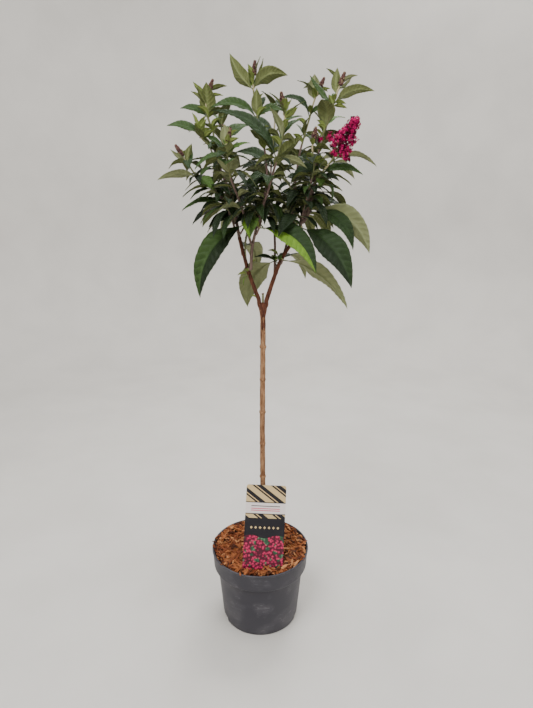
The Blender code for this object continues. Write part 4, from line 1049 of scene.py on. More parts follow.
def leaf_tone(grown, chance):
    """Numbers of the upper and under finishes: young leaves are brighter, old and inner ones darker, the
    inner ones partly as painted shade of the crown's inside. A few listed leaves take painted light and shade
    by halves.
    """
    # A few listed leaves take painted light and shade: a tone for each half.
    painted_halves = PAINTED_LIGHT_TONES.get((grown.shoot, grown.number))
    length = leaf_length(grown.leaf)
    youth = np.clip(grown.young, 0, 1) * 2.6 + chance.uniform(-0.5, 0.7) - (length > 0.06) * 0.7
    upper = int(np.clip(round(youth), 0, 3))
    if length < 0.026 and grown.young > 0.6:
        upper = 3 if chance.uniform() < 0.75 else 4
    upper = [UPPER_TONES.index(tone) for tone in painted_halves] if painted_halves else [upper, upper]
    if length < 0.030 and grown.young > 0.6:
        under = 3
    # Large leaves take the pale ashen underside, partly as painted light on the big low leaves that the crown
    # shades.
    elif length > 0.085:
        under = 2
    else:
        # Leaves with a low share, the inner ones, mostly take the darkest underside, partly as painted shade.
        odds = (0.7, 0.2, 0.1) if grown.young < 0.3 else (0.4, 0.35, 0.25)
        under = int(chance.choice((0, 1, 2), p=odds))
    return upper, len(UPPER_TONES) + under


# Materials

BLACK = (0, 0, 0, 1)
WHITE = (1, 1, 1, 1)
PRINT_COLOURS = ("Card", "Gold", "Pale", "Petal", "Plum")


def add_node(tree, kind, inputs=None, **settings):
    """A node with its settings, and its inputs linked where they are wires and set where they are not."""
    made = tree.nodes.new(kind)
    for key, value in settings.items():
        setattr(made, key, value)
    for key, value in (inputs or {}).items():
        if isinstance(value, Wire):
            tree.links.new(value.socket, made.inputs[key])
        else:
            made.inputs[key].default_value = value
    return made


class Wire:
    """A value in a shader tree. Plain arithmetic on it adds Math nodes."""

    def __init__(self, tree, socket):
        self.tree, self.socket = tree, socket

    def calc(self, operation, second=0.0, clamp=False):
        """The result of a Math node on the value."""
        return calc(self.tree, operation, self, second, clamp)

    def __add__(self, other):
        return self.calc("ADD", other)

    def __sub__(self, other):
        return self.calc("SUBTRACT", other)

    def __rsub__(self, other):
        return calc(self.tree, "SUBTRACT", other, self)

    def __mul__(self, other):
        return self.calc("MULTIPLY", other)

    def __abs__(self):
        return self.calc("ABSOLUTE")

    def __lt__(self, other):
        return self.calc("LESS_THAN", other)

    def __gt__(self, other):
        return self.calc("GREATER_THAN", other)

    def between(self, low, high):
        """One where the value lies between two others, else nought."""
        return (self > low) * (self < high)

    def stepped(self, low, high):
        """The value spread from 0 at low to 1 at high."""
        made = add_node(self.tree, "ShaderNodeMapRange", {"Value": self, "From Min": low, "From Max": high})
        return Wire(self.tree, made.outputs["Result"])


def calc(tree, operation, first, second=0.0, clamp=False):
    """The result of a Math node."""
    made = add_node(tree, "ShaderNodeMath", {0: first, 1: second}, operation=operation, use_clamp=clamp)
    return Wire(tree, made.outputs[0])


class Group:
    """A shader node group in the making: its inputs as wires, its textures and its outputs."""

    def __init__(self, name, inputs, outputs=("Colour", "Roughness", "Height")):
        self.tree = bpy.data.node_groups.new(name, "ShaderNodeTree")
        for label, default in inputs.items():
            self.socket(label, "INPUT", isinstance(default, tuple)).default_value = default
        for label in outputs:
            self.socket(label, "OUTPUT", label == "Colour")
        given = self.tree.nodes.new("NodeGroupInput").outputs
        self.given = {label: Wire(self.tree, given[label]) for label in inputs}
        self.ends = self.tree.nodes.new("NodeGroupOutput").inputs

    def socket(self, label, way, is_colour):
        """A new input or output of the group."""
        kind = "NodeSocketColor" if is_colour else "NodeSocketFloat"
        return self.tree.interface.new_socket(label, in_out=way, socket_type=kind)

    def node(self, kind, output, inputs=None, **settings):
        """One output of a new node."""
        return Wire(self.tree, add_node(self.tree, kind, inputs, **settings).outputs[output])

    def place(self, stretch=(1, 1, 1), source="Object"):
        """Coordinates stretched along each axis."""
        return self.node("ShaderNodeMapping", "Vector",
                         {"Vector": self.node("ShaderNodeTexCoord", source), "Scale": stretch})

    def part(self, source, axis):
        """One axis of some coordinates."""
        return self.node("ShaderNodeSeparateXYZ", axis, {"Vector": self.node("ShaderNodeTexCoord", source)})

    def noise(self, scale, detail, place=None, **more):
        """Smooth random shares."""
        inputs = {"Vector": place or self.place(), "Scale": scale, "Detail": detail, **more}
        return self.node("ShaderNodeTexNoise", "Fac", inputs)

    def cells(self, scale, place, feature="F1", **more):
        """Distance to the nearest cell's middle or edge."""
        return self.node("ShaderNodeTexVoronoi", "Distance", {"Vector": place, "Scale": scale, **more},
                         feature=feature)

    def blend(self, share, first, second, kind="MIX"):
        """Two colours mixed by a share."""
        return self.node("ShaderNodeMix", 2, {"Factor": share, 6: first, 7: second}, data_type="RGBA",
                         blend_type=kind)

    def put(self, **results):
        """Links the results to the group's outputs and gives the group."""
        for label, wire in results.items():
            self.tree.links.new(wire.socket, self.ends[label])
        return self.tree


def leaf_skin_group():
    """A leaf's skin: small mottling of its colour, fine netted relief and uneven gloss."""
    group = Group("leaf_skin", {"Colour": BLACK, "Mottling": 0.2, "Net": 1.0})
    colour = group.given["Colour"]
    broad = group.noise(95.0, 3.0)
    netted = group.cells(780.0, group.place(), "DISTANCE_TO_EDGE").stepped(0.0, 0.16)
    shaded = group.blend(1.0, colour, (0.62, 0.66, 0.6, 1), "MULTIPLY")
    return group.put(Colour=group.blend(broad.stepped(0.35, 0.68) * group.given["Mottling"], colour, shaded),
                     Roughness=broad * 0.28 + 0.32, Height=netted * group.given["Net"])


def streak_group():
    """Streaks along +Z: two noises stretched along the stem, their colours, gloss and relief."""
    group = Group("streaks", {"Light": WHITE, "Dark": BLACK, "Speckle": 0.5})
    light, dark, speckle = group.given.values()
    streaks = group.noise(620.0, 5.0, group.place((1, 1, 0.09)), Roughness=0.62)
    patches = group.noise(90.0, 2.0, group.place((1, 1, 0.4)))
    dots = (1.0 - group.cells(330.0, group.place((1, 1, 0.5))).stepped(0.14, 0.24)) * speckle
    colour = group.blend((streaks * 0.72 + patches * 0.28).stepped(0.38, 0.62), dark, light)
    return group.put(Colour=group.blend(dots, colour, dark), Roughness=streaks * 0.25 + 0.55,
                     Height=streaks - dots * 0.4)


def grain_group():
    """An even grain: speckles of a second colour, uneven gloss and a fine relief."""
    group = Group("grain", {"Colour": WHITE, "Second": BLACK, "Scale": 300.0, "Share": 0.5, "Gloss": 0.5})
    colour, second, scale, share, gloss = group.given.values()
    noise = group.noise(scale, 4.0)
    return group.put(Colour=group.blend(noise.stepped(0.4, 0.66) * share, colour, second),
                     Roughness=noise * 0.22 + (gloss - 0.11), Height=noise)


def scuff_group():
    """Scuffs on plastic: thin broken scratches, a dusty foot and worn patches."""
    group = Group("scuffs", {"Colour": BLACK, "Scuff": WHITE, "Gloss": 0.45})
    colour, scuff, gloss = group.given.values()
    lines = group.noise(62.0, 2.0, group.place((0.35, 0.35, 1.6)), Distortion=0.6)
    thin = 1.0 - abs(lines - 0.5).stepped(0.0, 0.011)
    patches = group.noise(24.0, 5.0)
    worn = patches.stepped(0.49, 0.66)
    dusty = (1.0 - group.part("Object", "Z").stepped(0.0, 0.05)) * 0.18
    marks = thin * worn * 0.65
    share = (marks + worn * 0.14).calc("ADD", dusty * patches, clamp=True)
    return group.put(Colour=group.blend(share, colour, scuff), Roughness=gloss + share * 0.3,
                     Height=group.noise(1500.0, 2.0) * 0.5 + marks * -0.8)


def card_print_group():
    """A plain printed design on a card: slanted bands, a pale strip with rules, a dark field with a row
    of diamonds, and a bed of round petals with green between."""
    group = Group("card_print", dict.fromkeys(PRINT_COLOURS, BLACK), ("Colour",))
    card, gold, pale, petal, plum = group.given.values()
    u, v = group.part("UV", "X"), group.part("UV", "Y")
    slanted = (u * 2.1 + v * 6.2).calc("FRACT")
    banded = group.blend((slanted < 0.46) + slanted.between(0.60, 0.68), card, gold)
    colour = group.blend((v > 0.80) + v.between(0.61, 0.655), card, banded)
    colour = group.blend(v.between(0.665, 0.79), colour, pale)
    within = abs(u - 0.5) < 0.36
    for height, rule in ((0.752, card), (0.722, petal), (0.700, petal)):
        colour = group.blend((abs(v - height) < 0.0045) * within, colour, rule)
    diamonds = abs((u * 9.0).calc("FRACT") - 0.5) + abs((v - 0.50) * 18.0) < 0.30
    colour = group.blend(diamonds * within, colour, gold)
    bed = v < (u * 9.4).calc("SINE") * 0.018 + 0.395
    wide = group.place((1, 2.1, 1), "UV")
    shade = group.cells(17.0, wide, Randomness=0.9).stepped(0.22, 0.62)
    green = group.blend(shade, (0.09, 0.2, 0.11, 1), (0.02, 0.06, 0.03, 1))
    leafy = group.noise(6.0, 1.0, wide).stepped(0.57, 0.60)
    petals = group.blend(leafy, group.blend(shade, petal, plum), green)
    return group.put(Colour=group.blend(bed, colour, petals))


GROUP_MAKERS = {"leaf_skin": leaf_skin_group, "streaks": streak_group, "grain": grain_group,
                "scuffs": scuff_group, "card_print": card_print_group}


def finish_material(name, group, inputs, relief=0.0, constants=None):
    """A Principled material whose colour, gloss and bump come from a shader group."""
    made = bpy.data.materials.get(name)
    if made:
        return made
    made = bpy.data.materials.new(name)
    made.use_nodes = True
    tree = made.node_tree
    shader = tree.nodes["Principled BSDF"]
    built = bpy.data.node_groups.get(group) or GROUP_MAKERS[group]()
    skin = add_node(tree, "ShaderNodeGroup", node_tree=built)
    for key, value in inputs.items():
        is_colour = hasattr(value, "__len__") and len(value) == 3
        skin.inputs[key].default_value = (*value, 1) if is_colour else value
    tree.links.new(skin.outputs["Colour"], shader.inputs["Base Color"])
    if "Roughness" in skin.outputs:
        tree.links.new(skin.outputs["Roughness"], shader.inputs["Roughness"])
    if relief:
        height = Wire(tree, skin.outputs["Height"])
        bump = add_node(tree, "ShaderNodeBump", {"Strength": 1.0, "Distance": relief, "Height": height})
        tree.links.new(bump.outputs["Normal"], shader.inputs["Normal"])
    for key, value in (constants or {}).items():
        shader.inputs[key].default_value = value
    made.diffuse_color = (*tuple(next(iter(inputs.values())))[:3], 1)
    return made


def grain_material(name, colour, second, scale, share, gloss, relief=0.0, constants=None):
    """A grained material of two colours."""
    looks = {"Colour": colour, "Second": second, "Scale": scale, "Share": share, "Gloss": gloss}
    return finish_material(name, "grain", looks, relief, constants)


# Pieces


def wall_radius(height):
    """Outer radius of the pot's plain wall at a height."""
    under_rim = RIM_RADIUS - RIM_BULGE - RIM_STEP
    return FOOT_RADIUS + (under_rim - FOOT_RADIUS) * height / (POT_HEIGHT - RIM_HEIGHT)


def pot_profile():
    """The pot's section from the middle of its floor inside, over the lip, to the middle of its underside."""
    rim_foot, under_rim = POT_HEIGHT - RIM_HEIGHT, RIM_RADIUS - RIM_BULGE
    corners = (
        (0.0002, FLOOR, 0),
        (wall_radius(FLOOR) - WALL, FLOOR, 0.002),
        (wall_radius(rim_foot) - WALL, rim_foot, 0.003),
        (under_rim - WALL, rim_foot + 0.006, 0.003),
        (RIM_RADIUS - LIP, POT_HEIGHT - 0.0006, 0.0006),
        (RIM_RADIUS - 0.0015, POT_HEIGHT + 0.0002, 0.0008),
        (RIM_RADIUS + 0.0002, POT_HEIGHT - 0.0010, 0.0008),
        (RIM_RADIUS - 0.0002, POT_HEIGHT - 0.0040, 0.0005),
        (RIM_RADIUS - 0.0012, POT_HEIGHT - 0.0048, 0.0005),
        (RIM_RADIUS - 0.0030, rim_foot + 0.002, 0.0018),
        (RIM_RADIUS - 0.0042, rim_foot - 0.0006, 0.0016),
        (wall_radius(rim_foot) + 0.0002, rim_foot - 0.0018, 0.0022),
        (wall_radius(0.085), 0.085, 0.004),
        (FOOT_RADIUS + 0.0004, 0.0060, 0.004),
        (FOOT_RADIUS - 0.0006, 0.0006, 0.0012),
        (FOOT_RADIUS - 0.004, 0, 0.0008),
        (0.0002, 0, 0),
    )
    points = []
    for before, corner, after in zip(corners, corners[1:], corners[2:]):
        here, ahead, behind = np.array(corner[:2]), np.array(after[:2]), np.array(before[:2])
        reach = min(corner[2], 0.45 * np.linalg.norm(ahead - here), 0.45 * np.linalg.norm(behind - here))
        start, end = here + reach * unit(behind - here), here + reach * unit(ahead - here)
        for share in (0, 0.25, 0.5, 0.75, 1):
            points.append((1 - share)**2 * start + 2 * share * (1 - share) * here + share**2 * end)
    return np.vstack(([corners[0][:2]], points, [corners[-1][:2]]))


class BUSH_OT_build_pot(bpy.types.Operator):
    """Build the pot: its section turned about +Z, with drain slots cut round the foot"""

    bl_idname = "bush.build_pot"
    bl_label = "Pot"

    def execute(self, context):
        settings = context.scene.bush_pot
        looks = {"Colour": settings.plastic, "Scuff": settings.scuff, "Gloss": settings.roughness}
        plastic = finish_material("pot_plastic_worn", "scuffs", looks, 0.00012, {"Specular IOR Level": 0.25})
        mesh = turned_solid(pot_profile(), settings.sides).mesh("pot_shell", [plastic])
        weld(mesh)
        pot = new_piece("pot_shell", mesh, "pot_plastic", "pot")
        slots = Shape()
        box = np.array([(x, y, z) for x in (-0.5, 0.5) for y in (-0.5, 0.5) for z in (-0.5, 0.5)])
        faces = np.array(((0, 1, 3, 2), (4, 6, 7, 5), (0, 4, 5, 1), (2, 3, 7, 6), (0, 2, 6, 4), (1, 5, 7, 3)))
        for angle in SLOT_TURNS:
            out, beside = heading_vector(angle), heading_vector(angle + 90)
            sized = box * (SLOT_DEPTH, SLOT_WIDTH, 2 * SLOT_HEIGHT)
            slots.add(sized[:, :1] * out + sized[:, 1:2] * beside + sized[:, 2:] * (0, 0, 1)
                      + (FOOT_RADIUS - 0.004) * out, faces)
        cut_out(pot, slots.mesh("pot_slots", [plastic], smooth=False))
        pot.data.set_sharp_from_angle(angle=SHARP_ANGLE)
        return {"FINISHED"}


def weld(mesh):
    """Joins points that lie together."""
    shape = bmesh.new()
    shape.from_mesh(mesh)
    bmesh.ops.remove_doubles(shape, verts=shape.verts, dist=0.000001)
    bmesh.ops.recalc_face_normals(shape, faces=shape.faces)
    shape.to_mesh(mesh)
    shape.free()


def cut_out(piece, cutter_mesh):
    """Cuts a mesh out of a piece and applies it."""
    weld(cutter_mesh)
    cutter = bpy.data.objects.new("cutter", cutter_mesh)
    bpy.context.scene.collection.objects.link(cutter)
    cut = piece.modifiers.new("cut", "BOOLEAN")
    cut.operation, cut.solver, cut.object = "DIFFERENCE", "EXACT", cutter
    bpy.context.view_layer.update()
    graph = bpy.context.evaluated_depsgraph_get()
    mesh = bpy.data.meshes.new_from_object(piece.evaluated_get(graph))
    piece.modifiers.clear()
    piece.data = mesh
    bpy.data.objects.remove(cutter)


def mulch_height(x, y):
    """Height of the mulch: the solids' waves and mound, with a finer unevenness."""
    wave = np.sin(131 * x + 2.1) * np.cos(117 * y - 0.7) + 0.6 * np.sin(223 * (x + y))
    mound = 1 - (np.hypot(x, y) / RIM_RADIUS)**2
    fine = 0.5 * np.sin(517 * x - 1) * np.sin(483 * y + 2)
    return MULCH_TOP + 0.0036 + 0.7 * MULCH_RIPPLE * (wave + 0.5 * fine) + 0.0012 * mound


class BUSH_OT_build_mulch(bpy.types.Operator):
    """Build the soil and the bark mulch: a rough bed and loose chips heaped on it"""

    bl_idname = "bush.build_mulch"
    bl_label = "Mulch"

    def execute(self, context):
        settings = context.scene.bush_mulch
        earth = grain_material("soil_dark", settings.soil, settings.umber, 420.0, 0.6, 0.9, 0.0012)
        self.add_soil(earth)
        rings, sides = 46, 120
        top = RIM_RADIUS - RIM_BULGE - WALL - GAP - 0.0006
        radius, turn = np.linspace(0.0004, top, rings)[:, None], round_turn(sides)
        x, y = radius * np.cos(turn), radius * np.sin(turn)
        chance = np.random.default_rng(MULCH_SEED)
        z = mulch_height(x, y) - 0.0018 + chance.uniform(-0.0007, 0.0007, x.shape)
        z[-1] -= 0.002
        points = np.stack((x, y, z), axis=-1)
        skirt = np.stack((x[-1], y[-1], np.full(sides, SOIL_TOP + GAP)), axis=-1)[None]
        base = skirt * (0.02, 0.02, 1)
        shape = Shape()
        shape.add(np.vstack((points, skirt, base)), ring_faces(rings + 2, sides))
        mesh = shape.mesh("mulch_bed", [earth])
        weld(mesh)
        new_piece("mulch_bed", mesh, "bark_mulch", "mulch")
        names = ("straw", "tan", "rust", "umber")
        colours = [getattr(settings, name) for name in names]
        finishes = [finish_material("chip_" + name, "streaks",
                                    {"Light": colour, "Dark": darker(colour, 0.5), "Speckle": 0.2}, 0.0005,
                                    {"Specular IOR Level": 0.15}) for name, colour in zip(names, colours)]
        chips = Shape()
        add_chips(chips, settings, chance)
        new_piece("mulch_chips", chips.mesh("mulch_chips", finishes, smooth=False), "bark_mulch")
        return {"FINISHED"}

    def add_soil(self, earth):
        """The compost as a turned section, drawn in behind the drain slots"""
        rim_foot, inset = POT_HEIGHT - RIM_HEIGHT, WALL + GAP
        section = np.array([(0.0004, SOIL_TOP), (wall_radius(rim_foot) - inset + 0.002, SOIL_TOP),
                            (wall_radius(rim_foot) - inset, rim_foot - 0.001),
                            (wall_radius(0.017) - inset, 0.017),
                            (FOOT_RADIUS - SLOT_DEPTH, 0.013), (FOOT_RADIUS - SLOT_DEPTH, FLOOR + GAP),
                            (0.0004, FLOOR + GAP)])
        mesh = turned_solid(section, 96).mesh("soil_core", [earth])
        weld(mesh)
        new_piece("soil_core", mesh, "soil", "soil").data.set_sharp_from_angle(angle=SHARP_ANGLE)


def darker(colour, share):
    """A colour at a share of its light."""
    return tuple(part * share for part in colour)


def add_chips(shape, settings, chance):
    """Bark chips: four rings of four corners along each chip, pinched at the ends, bent and frayed.

    A corner = middle + a * long axis + b * wide axis + c * thin axis, with a little chance in each.
    """
    count = settings.chips
    spread = np.sqrt(chance.uniform(0, 1, count)) * (RIM_RADIUS - 0.0062)
    angle = chance.uniform(0, 2 * np.pi, count)
    x, y = spread * np.cos(angle), spread * np.sin(angle)
    long_half = settings.chip_length / 2 * np.exp(chance.normal(0, 0.42, count)) * 0.9
    long_half = np.clip(long_half, 0.0022, 0.0125)
    wide_half = np.clip(long_half * chance.uniform(0.16, 0.36, count), 0.0007, 0.0024)
    thin_half = np.clip(wide_half * chance.uniform(0.25, 0.6, count), 0.0003, 0.0010)
    yaw, pitch = chance.uniform(0, 2 * np.pi, count), chance.normal(0, 0.20, count)
    roll = chance.normal(0, 0.5, count)
    layer = chance.uniform(-0.0012, 0.0034, count)
    keep = np.hypot(x - TRUNK_X, y) > FLARE_RADIUS + 0.001
    foot, across, _, out = card_axes()
    beside = np.stack((x, y, np.full(count, MULCH_TOP)), axis=1) - foot
    keep &= (np.abs(beside @ across) > CARD_WIDTH / 2 + 0.001) | (np.abs(beside @ out) > 0.004)
    inner = np.clip((spread - RIM_RADIUS + 0.020) / 0.014, 0, 1)
    z = mulch_height(x, y) + layer + 0.0030 * inner
    perched = np.arange(count) < len(PERCHED_AT)
    seat = np.radians(PERCHED_AT)
    x[perched], y[perched] = PERCHED_OUT * np.cos(seat), PERCHED_OUT * np.sin(seat)
    z[perched], pitch[perched], roll[perched] = POT_HEIGHT + 0.0012, 0.05, 0.15
    long_half[perched], wide_half[perched], thin_half[perched] = 0.0058, 0.0018, 0.0006
    keep |= perched
    middle = np.stack((x, y, z), axis=1)
    forward = np.stack((np.cos(yaw) * np.cos(pitch), np.sin(yaw) * np.cos(pitch), np.sin(pitch)), axis=1)
    flat = np.stack((-np.sin(yaw), np.cos(yaw), np.zeros(count)), axis=1)
    above = np.cross(forward, flat)
    wide = np.cos(roll)[:, None] * flat + np.sin(roll)[:, None] * above
    thin = np.cross(forward, wide)
    a = np.array((-1, -0.55, 0.5, 1))[None, :, None] + chance.uniform(-0.12, 0.12, (count, 4, 4))
    pinch = np.array((0.35, 1.0, 0.9, 0.3))[None, :, None] * chance.uniform(0.7, 1.3, (count, 4, 1))
    b = np.array((-1, 1, 1, -1)) * pinch * chance.uniform(0.8, 1.2, (count, 4, 4))
    c = np.array((-1, -1, 1, 1)) * np.maximum(pinch, 0.5) * chance.uniform(0.8, 1.2, (count, 4, 4))
    bend = chance.normal(0, 0.16, (count, 1, 1)) * (a**2)
    long_half, wide_half, thin_half = (part[:, None, None] for part in (long_half, wide_half, thin_half))
    scaled = (a * long_half, b * wide_half, c * thin_half + bend * long_half)
    corners = middle[:, None, None, :] + sum(size[..., None] * axis[:, None, None, :]
                                             for size, axis in zip(scaled, (forward, wide, thin)))
    reach = np.hypot(corners[..., 0], corners[..., 1]).max(axis=(1, 2))
    inside = (reach < RIM_RADIUS - 0.0032) | perched
    lifted = (corners[..., 2].min(axis=(1, 2)) > POT_HEIGHT - 0.0002) & (reach < RIM_RADIUS + 0.0035)
    stray = (chance.uniform(0, 1, count) < 0.30) & (reach < RIM_RADIUS + 0.003) & (z > POT_HEIGHT - 0.0045)
    keep &= inside | lifted | stray
    corners = corners[keep]
    tone = chance.choice(4, count, p=(0.16, 0.36, 0.30, 0.18))[keep]
    walls = ring_faces(4, 4)
    ends = np.array(((3, 2, 1, 0), (12, 13, 14, 15)))
    faces = np.vstack((walls, ends))
    shape.add(corners, repeated(faces, 16, len(corners)), np.repeat(tone, len(faces)))


def card_axes():
    """Where the card enters the mulch, and its axes: across it, up its length and out of its front."""
    tilt, yaw = math.radians(CARD_TILT), math.radians(CARD_YAW)
    entry = -(TRUNK_RADIUS + 0.0012 + CARD_THICK + CARD_LENGTH * math.sin(tilt)) / math.cos(yaw)
    foot = np.array((CARD_X, entry, MULCH_TOP))
    across = np.array((math.cos(yaw), math.sin(yaw), 0.0))
    rise = np.array((-math.sin(yaw) * math.sin(tilt), math.cos(yaw) * math.sin(tilt), math.cos(tilt)))
    roll = math.radians(CARD_ROLL)
    across, rise = (math.cos(roll) * across - math.sin(roll) * rise,
                    math.sin(roll) * across + math.cos(roll) * rise)
    return foot, across, rise, np.cross(across, rise)


class BUSH_OT_build_label(bpy.types.Operator):
    """Build the label: a bowed card with rounded corners on a spike, with a plain printed design"""

    bl_idname = "bush.build_label"
    bl_label = "Label"

    def execute(self, context):
        settings = context.scene.bush_label
        foot, across, rise, out = card_axes()
        corner = CARD_CORNER
        heights = np.concatenate(([-SPIKE_LENGTH, -SPIKE_LENGTH + 0.010, -0.0042, -0.0036],
                                  np.linspace(0.0, CARD_LENGTH - corner, 60),
                                  CARD_LENGTH - corner + corner * np.sin(np.linspace(0.2, math.pi / 2, 8))))
        half = np.interp(heights, (-SPIKE_LENGTH, -SPIKE_LENGTH + 0.010, -0.0042, -0.0036),
                         (0.0004, SPIKE_WIDTH / 2, SPIKE_WIDTH / 2 + 0.002, CARD_WIDTH / 2))
        rounded = heights > CARD_LENGTH - corner
        above = heights[rounded] - CARD_LENGTH + corner
        half[rounded] = CARD_WIDTH / 2 - corner + np.sqrt(np.maximum(0, corner**2 - above**2))
        columns = 26
        t = np.linspace(-1, 1, columns)
        x, y = half[:, None] * t, np.repeat(heights[:, None], columns, axis=1)
        bow = settings.bow * (1 - (x / CARD_WIDTH * 2)**2) * np.clip(y / CARD_LENGTH, 0, 1)
        middle = foot + x[..., None] * across + y[..., None] * rise + bow[..., None] * out
        edge = 0.5 * CARD_THICK * np.where(np.abs(t) == 1, 0.6, 1.0)[None, :, None] * out
        ring = np.concatenate((middle + edge, (middle - edge)[:, ::-1]), axis=1)
        rows = len(heights)
        foot_cap, top_cap = cap_faces(rows, columns)
        faces = np.vstack((ring_faces(rows, 2 * columns)[:, ::-1], foot_cap[:, ::-1], top_cap[:, ::-1]))
        inks = {name: getattr(settings, name.lower()) for name in PRINT_COLOURS}
        printed = finish_material("label_print", "card_print", inks, 0.0,
                                  {"Roughness": 0.36, "Specular IOR Level": 0.3, "Coat Weight": 0.15,
                                   "Coat Roughness": 0.15})
        plain = grain_material("label_back", settings.card, settings.pale, 160.0, 0.04, 0.4, 0.00005)
        kinds = np.zeros((rows - 1, 2 * columns), int)
        kinds[:, columns - 1:] = 1
        kinds[heights[:-1] < -0.003] = 1
        shape = Shape()
        shape.add(ring, faces, np.concatenate((kinds.ravel(), np.ones(2 * len(foot_cap), int))))
        mesh = shape.mesh("label_card", [printed, plain])
        flat = np.stack((x / CARD_WIDTH + 0.5, y / CARD_LENGTH), axis=-1)
        flat = np.concatenate((flat, flat[:, ::-1]), axis=1).reshape(-1, 2)
        corners = np.empty(len(mesh.loops), int)
        mesh.loops.foreach_get("vertex_index", corners)
        mesh.uv_layers.new(name="card_map").data.foreach_set("uv", flat[corners].ravel())
        mesh.set_sharp_from_angle(angle=math.radians(40))
        new_piece("label_card", mesh, "label_card", "plant_label")
        return {"FINISHED"}


def bark_finishes(settings):
    """The woody materials, from the old stem to the woolly tips of the shoots."""
    woods = (("stem_wood", settings.stem_light, settings.stem_dark, 0.55, 0.0006),
             ("bough_wood", settings.bough_light, settings.bough_dark, 0.35, 0.0004),
             ("shoot_wood", settings.shoot_purple, darker(settings.shoot_purple, 0.45), 0.2, 0.0002),
             ("shoot_green", settings.shoot_green, darker(settings.shoot_green, 0.6), 0.1, 0.0002),
             ("shoot_wool", settings.shoot_cream, darker(settings.shoot_cream, 0.62), 0.1, 0.0003))
    return [finish_material(name, "streaks", {"Light": light, "Dark": dark, "Speckle": speckle}, relief,
                            {"Specular IOR Level": 0.12}) for name, light, dark, speckle, relief in woods]


def trunk_line(heights):
    """The stem's centre line: its slight bend, as in the solids."""
    share = (heights - SOIL_TOP) / (FORK_HEIGHT - SOIL_TOP)
    sway = TRUNK_SWAY * np.sin(9 * heights + 1.2) * np.sin(np.pi * share)
    return np.stack((TRUNK_X + sway, np.zeros_like(heights), heights), axis=1)


class BUSH_OT_build_stem(bpy.types.Operator):
    """Build the clear stem: leaf rings, furrowed bark, the swollen fork and its dead stub"""

    bl_idname = "bush.build_stem"
    bl_label = "Stem"

    def execute(self, context):
        settings = context.scene.bush_bark
        sides = 40
        heights = np.arange(SOIL_TOP + GAP, FORK_HEIGHT + 0.0003, 0.0009)
        share = (heights - heights[0]) / (heights[-1] - heights[0])
        keys = (SOIL_TOP, 0.140, 0.155, 0.30, FORK_HEIGHT - 0.022, FORK_HEIGHT - 0.009, FORK_HEIGHT)
        girth = (FLARE_RADIUS, FLARE_RADIUS - 0.0008, TRUNK_RADIUS + 0.0004, TRUNK_RADIUS,
                 TRUNK_RADIUS - 0.0001, FORK_RADIUS - 0.0016, FORK_RADIUS - 0.0004)
        radius = np.interp(heights, keys, girth)[:, None]
        turn = (np.arange(sides) / sides)[None, :]
        z = heights[:, None]
        for number, ring in enumerate(RING_HEIGHTS):
            scars = np.maximum(0, np.cos(2 * np.pi * (2 * turn) + np.pi * (number % 2)))
            swell = bump_at(z, ring, 0.0028) * (0.55 + 0.65 * scars)
            lip = 0.28 * bump_at(z, ring - 0.0018, 0.0007) - 0.3 * bump_at(z, ring + 0.0022, 0.0008)
            radius = radius + RING_SWELL * (swell + lip)
        drift = 0.05 * smooth_noise(turn, share[:, None], 3, 9, 2)
        furrows = smooth_noise((turn + drift) % 1, share[:, None], 17, 34, 3)
        fibres = smooth_noise((turn + drift) % 1, share[:, None], 31, 110, 4)
        lumps = smooth_noise(turn, share[:, None], 4, 46, 5)
        relief = settings.relief * (-np.abs(furrows) * 1.5 + 0.45 * fibres + 0.55 + 0.9 * lumps)
        radius = radius + relief * (1 + 0.6 * bump_at(z, FORK_HEIGHT, 0.02))
        path = trunk_line(heights)
        shape = Shape()
        reddened = np.clip((z - FORK_HEIGHT + 0.080) / 0.075, 0, 1)
        streaks = 0.5 + 0.5 * smooth_noise(turn, share[:, None], 13, 40, 6) + 0.2 * fibres
        add_tube(shape, path, radius, sides, np.where(streaks < reddened, 1, 0))
        dome = np.linspace(0, 1, 9)
        top = path[-1] + np.stack((0 * dome, 0 * dome, 0.0052 * dome), axis=1)
        add_tube(shape, top, radius[-1][None, :] * np.sqrt(np.maximum(0.02, 1 - dome**2))[:, None], sides, 1)
        stub = smooth_path([(TRUNK_X, 0.001, FORK_HEIGHT - 0.004),
                            (TRUNK_X + 0.0003, 0.001, FORK_HEIGHT + 0.012),
                            (TRUNK_X + 0.0002, 0.0012, FORK_HEIGHT + STUB_LENGTH)], 0.0006)
        grow = distances(stub) / distances(stub)[-1]
        stub_radius = STUB_RADIUS * (1 + 0.35 * bump_at(grow, 0.97, 0.04) + 0.3 * bump_at(grow, 0, 0.12))
        rough = 0.0001 * smooth_noise(turn, grow[:, None], 9, 14, 8)
        add_tube(shape, stub, stub_radius[:, None] + rough, sides, np.where(grow > 0.93, 1, 3))
        new_piece("stem_bark", shape.mesh("stem_bark", bark_finishes(settings)), "stem_bark", "trunk")
        return {"FINISHED"}


def add_limb(shape, path, radii, back, finish, nodes, seed, angular=0.0):
    """A limb: a tube that starts inside its parent, with a collar, swollen nodes, ridges and small knobs."""
    start = path[0] - back * unit(path[1] - path[0])
    line = smooth_path(np.vstack((start, path)), 0.0013)
    travelled = distances(line)
    share = travelled / travelled[-1]
    radius = np.interp(share, np.linspace(0, 1, len(radii)), radii)[:, None]
    sides = 16
    turn = (np.arange(sides) / sides)[None, :]
    radius = radius * (1 + 0.22 * bump_at(travelled, back, 0.0035)[:, None])
    for height in nodes:
        radius = radius * (1 + 0.20 * bump_at(line[:, 2:], height, 0.0018))
    cells = max(4, int(travelled[-1] / 0.004))
    ridges = smooth_noise(turn, share[:, None], 9, max(3, cells // 3), seed)
    knobs = smooth_noise(turn, share[:, None], 5, cells, seed + 50)
    radius = radius * (1 + 0.07 * ridges + 0.05 * knobs + angular * np.cos(8 * np.pi * turn))
    kinds = finish(share) if callable(finish) else finish
    add_tube(shape, line, radius, sides, kinds)


